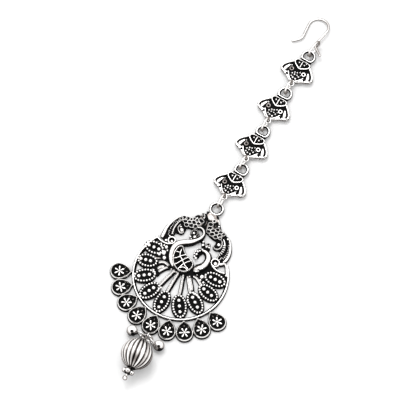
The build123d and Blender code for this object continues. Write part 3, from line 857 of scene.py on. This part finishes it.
strip(left_arch, [(-17.2, 10.2), (-16.0, 9.4), (-14.4, 8.95), (-12.4, 8.9), (-11.0, 9.3),
                  (-10.0, 10.0)], 0.32, 0.08, 1.85, crown=2.6, skirt=0.2)
granule(left_arch, -12.9, 10.2, FLOOR_LEVEL, 0.6, dull=0.1)
granule(left_arch, -12.5, 12.5, 1.1, 0.4)
left_arch.cast(["pendant"])

# %% [markdown]
# The right arch stands over the tail. It isn't a mirror of the left one: its milling is coarser,
# and a short leaf joins its curl to the rim.

# %% Right arch
RIGHT_CRESCENT = [(8.3, 23.2), (9.6, 21.9), (10.8, 20.3), (11.75, 18.5), (12.25, 16.8),
                  (12.35, 15.0), (12.1, 13.6), (11.5, 12.8)]
RIGHT_TEETH = [(10.3, 20.3), (11.1, 18.7), (11.45, 16.9), (11.4, 15.3), (11.0, 14.2)]
INNER_TEETH = [(8.7, 19.3), (9.2, 18.0), (9.3, 16.8), (9.2, 15.7), (8.8, 14.9)]
RIGHT_FLOOR = [(6.9, 23.3), (8.4, 23.3), (10.4, 21.2), (12.1, 18.4), (12.6, 15.2), (11.9, 13.2),
               (10.6, 12.6), (10.9, 11.2), (10.6, 9.9), (9.0, 9.1), (7.6, 9.9), (7.2, 11.2),
               (8.0, 12.6), (8.4, 14.0), (8.4, 16.4), (6.4, 16.1), (4.9, 16.8), (5.0, 18.2),
               (4.8, 19.8), (5.8, 21.0), (6.4, 22.0)]
RIGHT_SCROLL = [(6.3, 20.8), (7.3, 19.9), (7.8, 18.6), (7.6, 17.2), (6.6, 16.4), (5.4, 16.6),
                (4.9, 17.3)]
RIGHT_HEART = [
    # route, half width, bottom, top, its own settings
    ([(6.9, 21.6), (7.9, 20.7), (8.7, 19.6), (9.0, 18.9)], 0.3, 0.9, 1.9, {"skirt": 0.3}),
    (RIGHT_SCROLL, [0.25, 0.32, 0.32, 0.32, 0.3, 0.22], 0.16, [1.9, 2.0, 2.0, 1.9], {}),
    ([(6.3, 19.3), (6.45, 18.6), (6.4, 17.9)], [0.6, 0.8, 0.6], 0.9, 1.9, {}),
]
RIGHT_FOOT = [
    # route, half width, bottom, top, its own settings
    ([(10.2, 11.2), (11.3, 11.7), (12.5, 12.8)], [0.45, 0.6, 0.55], 0.1, 1.95, {}),
    ([(12.4, 12.9), (13.6, 11.7), (14.7, 10.1), (15.7, 8.5)], 0.42, 0.1, 1.95,
     {"skirt": 0.12, "shade": 1.6}),
    ([(8.7, 14.7), (8.8, 13.7), (8.9, 12.8)], 0.28, 0.2, 1.8, {}),
    ([(10.1, 14.5), (10.1, 13.6), (9.8, 12.8)], 0.28, 0.2, 1.8, {}),
]
right_arch = Casting("pendant_right_arch")
web(right_arch, RIGHT_FLOOR, 0.07, FLOOR_LEVEL)
strip(right_arch, RIGHT_CRESCENT, [0.3, 0.4, 0.5, 0.55, 0.6, 0.62, 0.6, 0.45], 0.05,
      [1.9, 2.1, 2.2, 2.2, 2.2, 2.1, 2.0, 1.9], skirt=0.1, shade=1.9)
ribs = milled_edge(right_arch, RIGHT_TEETH, 0.8, 1.15, 0.9, 1.9, 0.19, dull=0.1)
ribs += milled_edge(right_arch, INNER_TEETH, 0.84, 1.35, 0.9, 2.1, 0.3)
print("milled ribs on the right arch:", ribs)
ridges(right_arch, RIGHT_HEART)
granule(right_arch, 8.5, 22.5, 1.3, 0.5)
ring_curl(right_arch, 9.1, 11.1, 1.6, 0.85)
strip(right_arch, [(8.0, 9.8), (9.3, 9.1), (11.0, 8.6), (13.0, 8.6), (14.8, 9.0)], 0.32, 0.08,
      1.85, crown=2.6, skirt=0.2)
granule(right_arch, 15.6, 8.6, 1.2, 0.55)
ridges(right_arch, RIGHT_FOOT)
right_arch.cast(["pendant"])

# %% [markdown]
# ## The nets and the neck
# Above the arches lie two honeycomb nets. Each is a half rubbed plate inside a black border, and
# its cells are low black webs with a thin bright ring round each, so the bars between two cells
# have the uneven width of a casting. Two cells have run together into black patches.

# %% Nets
LEFT_NET = [(-12.5, 21.9), (-11.8, 22.5), (-10.6, 22.9), (-9.2, 23.1), (-8.2, 23.2), (-7.3, 24.2),
            (-6.9, 25.4), (-5.9, 25.8), (-4.6, 25.4), (-3.7, 24.6), (-3.4, 23.2), (-3.6, 22.0),
            (-4.6, 21.2), (-5.2, 20.0), (-6.4, 19.6), (-7.6, 19.5), (-8.4, 19.0), (-9.4, 19.1),
            (-10.1, 20.0), (-11.3, 20.3), (-12.3, 20.9)]
RIGHT_NET = [(-1.5, 25.2), (-1.6, 23.6), (-1.2, 22.4), (-0.7, 21.2), (0.3, 20.8), (1.4, 20.4),
             (2.8, 20.0), (4.2, 19.9), (5.2, 20.8), (6.0, 21.4), (6.5, 22.6), (6.8, 23.5),
             (6.2, 24.1), (4.4, 24.2), (3.9, 24.8), (2.9, 25.8), (1.2, 26.2), (-0.4, 25.9)]
NET_HOLES = [
    # x,    y,    half_long, half_wide, turn
    (-11.05, 21.95, 0.66, 0.48, 0),
    (-9.6, 22.35, 0.6, 0.4, 0),
    (-8.25, 22.75, 0.45, 0.3, 30),
    (-10.05, 20.9, 0.62, 0.42, 0),
    (-8.35, 21.4, 0.66, 0.4, 0),
    (-8.9, 19.75, 0.55, 0.45, 0),
    (-7.1, 20.4, 0.72, 0.5, 10),
    (-6.8, 22.1, 0.78, 0.48, 0),
    (-7.4, 23.4, 0.4, 0.3, 30),
    (-4.6, 24.0, 0.85, 0.5, 0),
    (-6.1, 23.4, 0.5, 0.4, 0),
    (-5.1, 22.6, 0.6, 0.45, 0),
    (-5.5, 20.8, 0.55, 0.45, 30),
    (-12.0, 21.2, 0.3, 0.4, 0),
    (-0.5, 24.55, 0.66, 0.45, 10),
    (0.0, 23.0, 0.72, 0.45, 25),
    (0.2, 21.55, 0.6, 0.42, 10),
    (1.55, 22.65, 0.68, 0.38, 28),
    (2.0, 21.1, 0.78, 0.42, 22),
    (3.35, 22.35, 0.55, 0.48, 0),
    (3.75, 20.85, 0.55, 0.48, 10),
    (4.9, 22.05, 0.52, 0.55, 0),
    (4.7, 23.5, 0.6, 0.28, 12),
    (6.0, 23.3, 0.4, 0.35, 30),
    (3.1, 23.9, 0.5, 0.35, 0),
    (5.6, 21.2, 0.3, 0.3, 0),
]
NET_LEVEL = 1.85
NET_BAR_HALF = 0.13
HOLE_MARGIN = 0.29

nets = Casting("pendant_nets")
for outline, bottom in ((LEFT_NET, 0.08), (RIGHT_NET, 0.084)):
    web(nets, outline, bottom, NET_LEVEL, face_rubbed=0.36, edge_rubbed=0.3)
for number, outline in enumerate((LEFT_NET, RIGHT_NET)):
    strip(nets, outline, 0.36, 0.088 + 0.004 * number, 1.4, closed=True, skirt=0.0, dull=1.0)
for x, y, half_long, half_wide, turn in NET_HOLES:
    long, wide = half_long + HOLE_MARGIN, half_wide + HOLE_MARGIN
    web(nets, oval(x, y, long, wide, turn, 16), NET_LEVEL - 0.5, NET_LEVEL + 0.05,
        step=0.2)
    strip(nets, oval(x, y, long + 0.08, wide + 0.08, turn, 16), NET_BAR_HALF, NET_LEVEL - 0.4,
          NET_LEVEL + 0.14, closed=True, skirt=0.0)
MIDDLE_FLOOR = [(-4.2, 26.2), (-4.0, 23.2), (-3.4, 21.6), (-0.9, 21.6), (-0.8, 24.2), (-0.4, 25.6),
                (-1.4, 26.6)]
web(nets, MIDDLE_FLOOR, 0.09, 1.3)
LEFT_PATCH = [(-7.6, 23.9), (-7.5, 25.0), (-6.7, 25.8), (-5.7, 25.7), (-5.7, 24.6), (-6.2, 23.9),
              (-6.8, 23.5)]
RIGHT_PATCH = [(0.4, 25.9), (0.5, 24.7), (1.4, 23.9), (2.4, 24.2), (3.6, 24.2), (3.6, 25.0),
               (2.6, 26.0)]
for patch in (LEFT_PATCH, RIGHT_PATCH):
    web(nets, patch, NET_LEVEL - 0.5, NET_LEVEL + 0.06, step=0.2)
granule(nets, -6.5, 24.3, NET_LEVEL, 0.36, dull=0.1)
strip(nets, [(1.5, 25.3), (1.65, 24.8), (1.8, 24.3)], [0.35, 0.5, 0.35], NET_LEVEL - 0.3,
      NET_LEVEL + 0.12, dull=0.62, skirt=0.0)
granule(nets, 2.85, 25.3, 1.7, 0.4)
strip(nets, [(-2.6, 25.3), (-2.3, 23.9), (-2.5, 22.3)], [0.3, 0.2, 0.12], 1.2, 1.6, dull=0.66,
      skirt=0.0)
nets.cast(["pendant"])

# %% [markdown]
# The neck joins both arches and carries the eye, a flat ring whose inner wall has stayed black;
# the black there also paints the shade inside the eye.
# Under the middle teardrop a small loop stands on edge, and the beads hang from it.

# %% Neck, eye and foot loop
NECK_BLOCK = [(-4.4, 28.4), (-3.6, 29.2), (-1.8, 29.5), (0.2, 29.2), (1.5, 27.9), (2.8, 26.5),
              (3.2, 25.6), (1.0, 25.8), (-0.6, 25.9), (-2.2, 25.7), (-3.4, 26.1), (-5.2, 25.7),
              (-6.1, 26.9), (-5.4, 27.8), (-4.6, 27.8)]
PENDANT_EYE = (-1.75, 31.6)
EYE_LEVEL = 1.75
EYE_RADIUS = 2.52


def cast_eye(wax, places):
    """A flat cast ring that has kept the black on its inner wall, which also paints the shade
    inside it.
    """
    strip(wax, places, 0.4, EYE_LEVEL - 0.45, EYE_LEVEL + 0.4, closed=True, skirt=0.1, shade=2.0)
    middle = np.mean(places, axis=0)
    inner = [tuple(middle + (np.array(p) - middle) * 0.82) for p in places]
    strip(wax, inner, 0.26, EYE_LEVEL - 0.4, EYE_LEVEL + 0.3, closed=True, skirt=0.0, dull=1.0)


neck = Casting("pendant_neck")
web(neck, NECK_BLOCK, 0.11, 1.2)
strip(neck, [(-1.9, 28.7), (-2.0, 27.4), (-2.3, 26.0)], [1.6, 1.7, 1.1], 0.12, 2.3, skirt=0.1)
NECK_RIDGES = [
    # route, half width, bottom, top, its own settings
    ([(-3.4, 28.9), (-2.0, 29.2), (-0.5, 28.9)], 0.28, 0.12, 2.1, {"dull": 0.1}),
    ([(0.9, 27.9), (1.8, 27.1), (2.6, 25.9)], [0.35, 0.4, 0.3], 0.13, 2.0, {}),
    (oval(0.05, 26.5, 0.65, 0.7), 0.28, 0.14, 2.1, {"crown": 2.6, "closed": True}),
    ([(-5.2, 27.6), (-4.7, 26.9), (-3.9, 26.1)], [0.3, 0.36, 0.25], 0.15, 2.1, {"skirt": 0.12}),
    ([(-5.9, 27.1), (-5.6, 26.4), (-5.0, 25.8)], 0.26, 0.15, 1.9, {"skirt": 0.12}),
]
NECK_PLATE = [(-3.7, 28.7), (-2.0, 29.3), (-0.3, 28.9), (0.2, 28.2), (1.4, 27.6), (2.3, 26.5),
              (1.4, 26.6), (0.2, 26.2), (-1.2, 26.0), (-2.2, 25.9), (-3.0, 26.6), (-3.8, 27.6)]
web(neck, NECK_PLATE, 0.115, 1.75, face_rubbed=0.43, edge_rubbed=0.3)
for x, y, half in ((0.05, 26.5, 0.42), (-4.0, 28.5, 0.55), (0.6, 28.4, 0.5)):
    web(neck, oval(x, y, half, half, 0, 12), 0.9, 1.95, step=0.15)
ridges(neck, NECK_RIDGES, skirt=0.1)
granule(neck, -4.3, 25.8, 1.4, 0.42)
cast_eye(neck, arc(PENDANT_EYE, EYE_RADIUS, range(0, 360, 20)))
wire(neck, ring_line((1.0, -28.95, 1.4), (1, 0, 0), 0.95), 0.3, closed=True, sides=12)
neck.cast(["pendant"])

# %% [markdown]
# ## The chain plates
# The four plates are castings from one mould: an eye, a grooved collar, a heart-shaped hood with
# a rib, two wings with leaves, and a tip of petals and granules, with a small flat loop behind
# it. The right half is drawn once and mirrored, so the two sides always match.

# %% One plate
PLATE_LEAN = 0.35
PLATE_EDGE = [(0.0, -2.2), (2.2, -2.2), (2.5, -2.9), (3.3, -3.6), (3.6, -4.4), (4.6, -4.9),
              (6.0, -6.3), (7.0, -7.8), (7.25, -8.9), (6.9, -9.9), (5.5, -10.7), (4.2, -11.1),
              (3.0, -11.8), (1.6, -12.7), (0.0, -12.9)]
PLATE_EYE = arc((0, 0), EYE_RADIUS, range(-40, 221, 20)) + [(-0.9, -1.85), (0.0, -1.87),
                                                            (0.9, -1.85)]
HOOD_LINE = [(0.0, -3.12), (1.6, -3.12), (2.75, -3.4), (3.2, -4.2), (2.8, -5.1), (1.5, -6.0),
             (0.0, -6.65)]
HOOD_HALF_WIDTHS = [0.15, 0.2, 0.27, 0.27, 0.27, 0.2, 0.15]
WING_RIM = [(3.4, -4.3), (4.2, -5.1), (5.5, -6.4), (6.5, -7.8), (6.8, -9.0), (6.5, -9.7)]
WING_FOOT = [(6.5, -9.6), (5.4, -10.3), (4.2, -10.2)]
WING_LEAF = [(4.0, -6.6), (4.6, -7.7), (5.1, -9.0), (5.0, -9.8)]
TIP_LINE = [(3.5, -9.4), (2.85, -10.5), (1.85, -11.7), (1.0, -12.4), (0.0, -12.5)]
TIP_SHOULDER = [(6.1, -10.0), (4.9, -10.3), (3.8, -10.6), (3.0, -11.1), (2.2, -11.9)]
PETAL = oval(2.75, -8.05, 0.7, 0.7, 0, 12)
SIDE_RIDGES = [
    # route, half width, bottom, top, its own settings
    (WING_RIM, 0.4, 1.85, 2.55, {"shade": 1.9}),
    (WING_FOOT, 0.5, 1.86, 2.45, {"shade": 1.9}),
    (WING_LEAF, [0.25, 0.55, 0.74, 0.74], 1.87, 2.45, {"shade": 1.9}),
    (TIP_SHOULDER, [0.3, 0.5, 0.62, 0.5, 0.3], 1.84, 2.3, {"crown": 4.0}),
    (TIP_LINE, 0.28, 1.88, 2.5, {"skirt": 0.05}),
]
PITS = [(3.75, -10.25), (-3.75, -10.85)]
PLATE_GRANULES = [
    # x,    y,     level, radius
    (-0.8, -8.8, 2.2, 0.36),
    (0.2, -8.6, 2.2, 0.36),
    (1.2, -8.0, 2.2, 0.3),
    (-1.6, -9.6, 2.2, 0.34),
    (-0.5, -9.7, 2.2, 0.34),
    (0.6, -9.6, 2.2, 0.3),
    (1.5, -10.0, 2.2, 0.36),
    (-1.4, -10.8, 2.2, 0.34),
    (-0.5, -11.2, 2.2, 0.42),
    (0.75, -11.3, 2.2, 0.4),
    (-2.3, -8.6, 2.1, 0.22),
    (1.9, -9.0, 2.1, 0.22),
    (-1.4, -4.2, 2.2, 0.42),
    (1.0, -4.45, 2.3, 0.38),
    (1.5, -3.5, 2.2, 0.26),
    (-3.5, -6.6, 2.1, 0.3),
    (2.3, -7.3, 2.1, 0.24),
]


def chain_plate(wax):
    """One plate with its eye's middle at the origin, tip towards -Y and a little to the left."""
    def right_half(points, side=1):
        return [(side * x - PLATE_LEAN, y) for x, y in points]

    def both_sides(points):
        return right_half(points) + right_half(list(reversed(points[1:-1])), -1)

    web(wax, both_sides(PLATE_EDGE), 1.2, 2.0, edge_rubbed=0.9)
    strip(wax, [(-2.4, -2.47), (0.0, -2.45), (2.6, -2.47)], 0.4, 1.9, 2.5, crown=4.0, dull=1.0,
          skirt=0.0)
    strip(wax, both_sides(HOOD_LINE), HOOD_HALF_WIDTHS, 1.9, 2.8, crown=2.4, closed=True,
          skirt=0.05)
    strip(wax, [(-0.55, -3.2), (-0.6, -4.8), (-0.45, -6.4)], 0.24, 1.9, 2.7, skirt=0.0)
    for side, petal_dull in ((1, 0.3), (-1, 0.55)):
        ridges(wax, [(right_half(row[0], side), *row[1:]) for row in SIDE_RIDGES], skirt=0.0)
        strip(wax, right_half(PETAL, side), 0.25, 1.89, 2.5, crown=2.4, closed=True, skirt=0.0,
              dull=petal_dull)
    for x, y in PITS:
        web(wax, oval(x, y, 0.6, 0.52, 0, 10), 1.9, 2.55)
    for x, y, level, radius in PLATE_GRANULES:
        granule(wax, x - PLATE_LEAN, y, level, radius, 0.12)
    cast_eye(wax, PLATE_EYE)
    wire(wax, ring_line((0, -13.75, 1.9), (0, 0, 1), 1.0), 0.3, closed=True, sides=12)

# %% [markdown]
# The mould is filled four times. Each plate is turned a little about its eye, as the chain lies.

# %% Four plates along the chain
CHAIN_PLATES = [
    # x,    y,     turn
    (-2.0, 107.7, -1.4),
    (-2.3, 88.9, -1.0),
    (-2.0, 70.0, -0.6),
    (-1.4, 51.3, -1.0),
]
for number, (x, y, turn) in enumerate(CHAIN_PLATES, start=1):
    plate = Casting(f"plate_casting_{number}")
    chain_plate(plate)
    flat = turned([p[:2] for p in plate.points], turn, (x, y))
    plate.points = [(*place, p[2]) for place, p in zip(flat, plate.points)]
    plate.cast([f"chain_plate_{number}"])

# %% [markdown]
# ## The melon bead
# The melon bead is two pressed half shells soldered together: a ball with ribs that run from
# pole to pole. Its radius shrinks towards the grooves, which keep their black. No two ribs are
# rubbed alike. The bead is also painted darker low down, as shade, and two dark patches are
# painted on its ribs: the lower one, which faces the camera's side, is a painted reflection.
# Twenty ribs are drawn here and the construction bead has eighteen: how many the real bead has
# isn't settled.

# %% Melon bead
MELON_AT = Vector((2.0, -39.55, 6.4))
MELON_RADIUS = 6.4
MELON_RIBS = 20
GROOVE_DEPTH = 0.62
MELON_MOUTH = 1.75
BEAD_WIRE = 0.36
PIN_DIP, PIN_LEAN, MELON_LEAN = radians(4.0), radians(4.0), radians(5.0)
DARK_PATCHES = [Vector(towards).normalized() for towards in ((0.15, -0.55, 0.82),
                                                                (0.1, 0.75, 0.6))]


def pin_place(x, y, along, extra_lean=0.0):
    """A place in the pin's own frame: along runs from the bead's middle towards its eye."""
    lean = PIN_LEAN + extra_lean
    up = Vector((-sin(lean) * cos(PIN_DIP), cos(lean) * cos(PIN_DIP), sin(PIN_DIP)))
    right = Vector((cos(lean), sin(lean), 0))
    front = up.cross(right)
    return MELON_AT + right * x + front * y + up * along


def pin_circle(radius, along, count, extra_lean=0.0):
    """Places round the pin."""
    turns = [2 * pi * k / count for k in range(count)]
    return [pin_place(radius * cos(a), radius * sin(a), along, extra_lean) for a in turns]


melon = Casting("melon_ribs")
RIB_POINTS = 10
LONG, ROUND = 48, MELON_RIBS * RIB_POINTS
rings = []
opening = np.arcsin(MELON_MOUTH / MELON_RADIUS)
rib_dullness = [melt.uniform(0.0, 0.35) for rib in range(MELON_RIBS)]
for i in range(LONG + 1):
    theta = opening + (pi - 2 * opening) * i / LONG
    depth = GROOVE_DEPTH * min(1.0, sin(theta) * 1.3)
    rings.append([])
    for j in range(ROUND):
        phi = 2 * pi * (j + 0.5) / ROUND
        swell = abs(sin(phi * MELON_RIBS / 2)) ** 0.6
        radius = MELON_RADIUS - depth * (1 - swell)
        place = pin_place(radius * sin(theta) * cos(phi), radius * sin(theta) * sin(phi),
                          radius * cos(theta), MELON_LEAN)
        out = (place - MELON_AT).normalized()
        groove = (1 - swell) ** 0.95
        # Two painted dark patches; the lower one is a painted reflection.
        band = sum(0.34 * np.exp(-((out - patch).length / 0.3) ** 2)
                   for patch in DARK_PATCHES)
        # Painted shade low down on the bead, plus each rib's own random dullness.
        under = 0.34 * max(0.0, 0.8 - out.z) + rib_dullness[j // RIB_POINTS]
        worn = 1.0 - groove * (0.8 + 0.7 * abs(cos(theta)) ** 0.7) - band - under
        rings[-1].append((*place, worn))
melon.add_rings(rings, flipped=True)
for end in (1, -1):
    collar = pin_circle(1.45, end * (MELON_RADIUS - 0.25), 20, MELON_LEAN)
    wire(melon, collar, BEAD_WIRE, closed=True, worn=0.0)
melon.cast(["melon_bead"], "bead_patina_and_painted_light")

# %% [markdown]
# ## The spacer and the plain balls
# Below the melon bead large granules are soldered into a ring. Four are drawn, of which three
# show; the construction spacer has eight smaller ones. The two plain balls are pressed shells
# with a faint seam round the middle, painted shade low down and painted dark reflections, and
# each hangs from a wire loop.

# %% Spacer and plain balls
SPACER_GRANULES = 4
SPACER_RADIUS = 1.52
SPACER_ALONG = -8.0


def bead(wax, middle, radius, painted_reflections=(), axis=(0, 0, 1), seam_depth=0.0):
    """A ball with painted shade low down, painted dark reflections and a soldered seam square to
    its axis.
    """
    rows = 48
    axis, first, second = square_to(axis)
    rings = []
    for i in range(rows + 1):
        theta = pi * i / rows
        seam = seam_depth * max(0.0, 1 - abs(theta - pi / 2) / 0.07)
        rings.append([])
        for j in range(rows):
            phi = 2 * pi * j / rows
            out = axis * cos(theta) + (first * cos(phi) + second * sin(phi)) * sin(theta)
            # Painted dark reflections; the falling height below also paints shade low down on the
            # ball.
            dark = sum(np.exp(-((out - Vector(reflection[:3]).normalized()).length / reflection[3]) ** 4)
                       for reflection in painted_reflections)
            rings[-1].append((*(Vector(middle) + out * (radius - seam)),
                              0.12 + 0.86 * out.z - 2.0 * dark))
    wax.add_rings(rings, flipped=True, capped=False)


spacer = Casting("spacer_granules")
# Each spacer granule gets painted shade low down and one painted dark reflection.
for place in pin_circle(SPACER_RADIUS, SPACER_ALONG, SPACER_GRANULES):
    bead(spacer, place, 1.08, [(0.25, -0.45, 0.85, 0.2)])
for along in (SPACER_ALONG + 0.8, SPACER_ALONG - 0.7):
    wire(spacer, pin_circle(1.1, along, 20), BEAD_WIRE, closed=True, worn=0.0)
spacer.cast(["granule_spacer"], "bead_patina_and_painted_light")

BALL_RADIUS = 2.2
PAINTED_REFLECTIONS = [
    # direction out of the ball of a painted dark reflection, then its size
    (0.2, -0.4, 0.88, 0.24),
    (0.55, -0.75, 0.5, 0.26),
    (0.8, -0.55, 0.2, 0.3),
]
SIDE_BALLS = {
    "left": ((-5.35, -30.5, 2.25), (-1.4, -30.35, 2.6), (0.0, 1.0, 0.0)),
    "right": ((7.1, -30.9, 2.25), (3.95, -31.0, 2.6), (0.42, 0.91, 0.0)),
}
for side, (middle, loop_middle, loop_axis) in SIDE_BALLS.items():
    ball = Casting(f"plain_ball_{side}")
    axis = (Vector(loop_middle) - Vector(middle)).normalized()
    bead(ball, middle, BALL_RADIUS, PAINTED_REFLECTIONS, axis, 0.035)
    collar_middle = Vector(middle) + axis * (BALL_RADIUS - 0.08)
    wire(ball, ring_line(collar_middle, axis, 0.62), 0.2, closed=True, worn=0.7)
    wire(ball, ring_line(loop_middle, loop_axis, 1.8), 0.32, closed=True)
    ball.cast([f"side_ball_{side}"], "bead_patina_and_painted_light")

# %% [markdown]
# ## The wires
# The hook, the jump rings and the head pin are plain round wire. Their construction shapes are
# already right, so they only take the drawn wire finish, which paints shade along their flanks.

# %% Finish on the wires
WIRES = ["hair_hook", "head_pin", "hook_ring", "drop_ring"]
WIRES += [f"link_ring_{k}" for k in range(1, 5)]
for name in WIRES:
    finish = "ring_wire" if "ring" in name else "drawn_wire"
    nodes[name].material_slots[0].material = silver[finish]
print("drawn wire on", WIRES)

# %% [markdown]
# ## The table
# The jewel lies on a pale table, one square face just below it. Its faint speckle keeps it from
# being a single flat colour.

# %% Table
table_paint = bpy.data.materials.new("white_table")
table_paint.use_nodes = True
tree = table_paint.node_tree
speckle = node(tree, "ShaderNodeTexNoise", (1, 0), {"Scale": 400})
tint = node(tree, "ShaderNodeMix", (3, 0),
            {"Factor": speckle.outputs[0], "A": (0.69, 0.69, 0.69, 1), "B": (0.71, 0.71, 0.71, 1)},
            data_type="RGBA")
feed(tree.nodes["Principled BSDF"], {"Roughness": 0.65, "Base Color": tint.outputs["Result"]})
TABLE_HALF = 1.5
TABLE_MIDDLE = 0.03
TABLE_LEVEL = -0.00005
table_mesh = bpy.data.meshes.new("white_table_top")
table_mesh.from_pydata([(x * TABLE_HALF, TABLE_MIDDLE + y * TABLE_HALF, TABLE_LEVEL)
                        for x, y in ((-1, -1), (1, -1), (1, 1), (-1, 1))], [], [(0, 1, 2, 3)])
table_mesh.materials.append(table_paint)
table = bpy.data.objects.new("white_table_top", table_mesh)
bpy.context.scene.collection.objects.link(table)
print("the table is", 2 * TABLE_HALF, "m wide")

# %% [markdown]
# ## Light
# Silver shows what is around it. One soft square lamp high behind the hook gives the gleam on
# each granule and a short shadow, and an even white world, like a light tent, fills everything
# else, so that only the tarnish and the painted shade are dark.

# %% Light
LIT_PLACE = Vector((0, 0.035, 0))


def seen_from(azimuth, elevation):
    """The direction towards a viewer or a lamp; azimuth 0 stands at -Y."""
    a, e = radians(azimuth), radians(elevation)
    return Vector((sin(a) * cos(e), -cos(a) * cos(e), sin(e)))


def soft_light(name, azimuth, elevation, distance, size, watts):
    """A square area light aimed at the jewel."""
    data = bpy.data.lights.new(name, "AREA")
    data.energy, data.size = watts, size
    lamp = bpy.data.objects.new(name, data)
    back = seen_from(azimuth, elevation)
    lamp.location = LIT_PLACE + back * distance
    lamp.rotation_euler = (-back).to_track_quat("-Z", "Y").to_euler()
    bpy.context.scene.collection.objects.link(lamp)


soft_light("overhead", 225, 66, 2.6, 1.1, 28)

TENT_LEVEL = 1.35
world = bpy.data.worlds.new("light_tent")
bpy.context.scene.world = world
world.use_nodes = True
world.node_tree.nodes["Background"].inputs["Color"].default_value = (1, 1, 1, 1)
world.node_tree.nodes["Background"].inputs["Strength"].default_value = TENT_LEVEL
print("tent level", TENT_LEVEL)

# %% [markdown]
# ## Camera
# A long lens stands far off, in front of the pendant and a little to its right, and looks down
# steeply. From so far the far end of the chain looks no smaller than the near end.

# %% Camera
VIEW_AZIMUTH, VIEW_ELEVATION = 29.35, 67.5
VIEW_DISTANCE = 2.5
VIEW_TARGET = Vector((-4.93, 30.15, 2.0)) * MM
LENS_OVER_SENSOR = 6257 / 416
camera_data = bpy.data.cameras.new("camera")
camera_data.sensor_width = 36
camera_data.lens = 36 * LENS_OVER_SENSOR
camera_data.clip_end = 20
camera = bpy.data.objects.new("camera", camera_data)
back = seen_from(VIEW_AZIMUTH, VIEW_ELEVATION)
camera.location = VIEW_TARGET + back * VIEW_DISTANCE
camera.rotation_mode = "QUATERNION"
camera.rotation_quaternion = (-back).to_track_quat("-Z", "Y")
bpy.context.scene.collection.objects.link(camera)
bpy.context.scene.camera = camera
print("camera", VIEW_DISTANCE, "m away with a lens of", round(camera_data.lens), "mm")

# %% Sizes
print("triangles:", sum(triangle_counts.values()), "in all,", max(triangle_counts.values()),
      "in the largest casting")
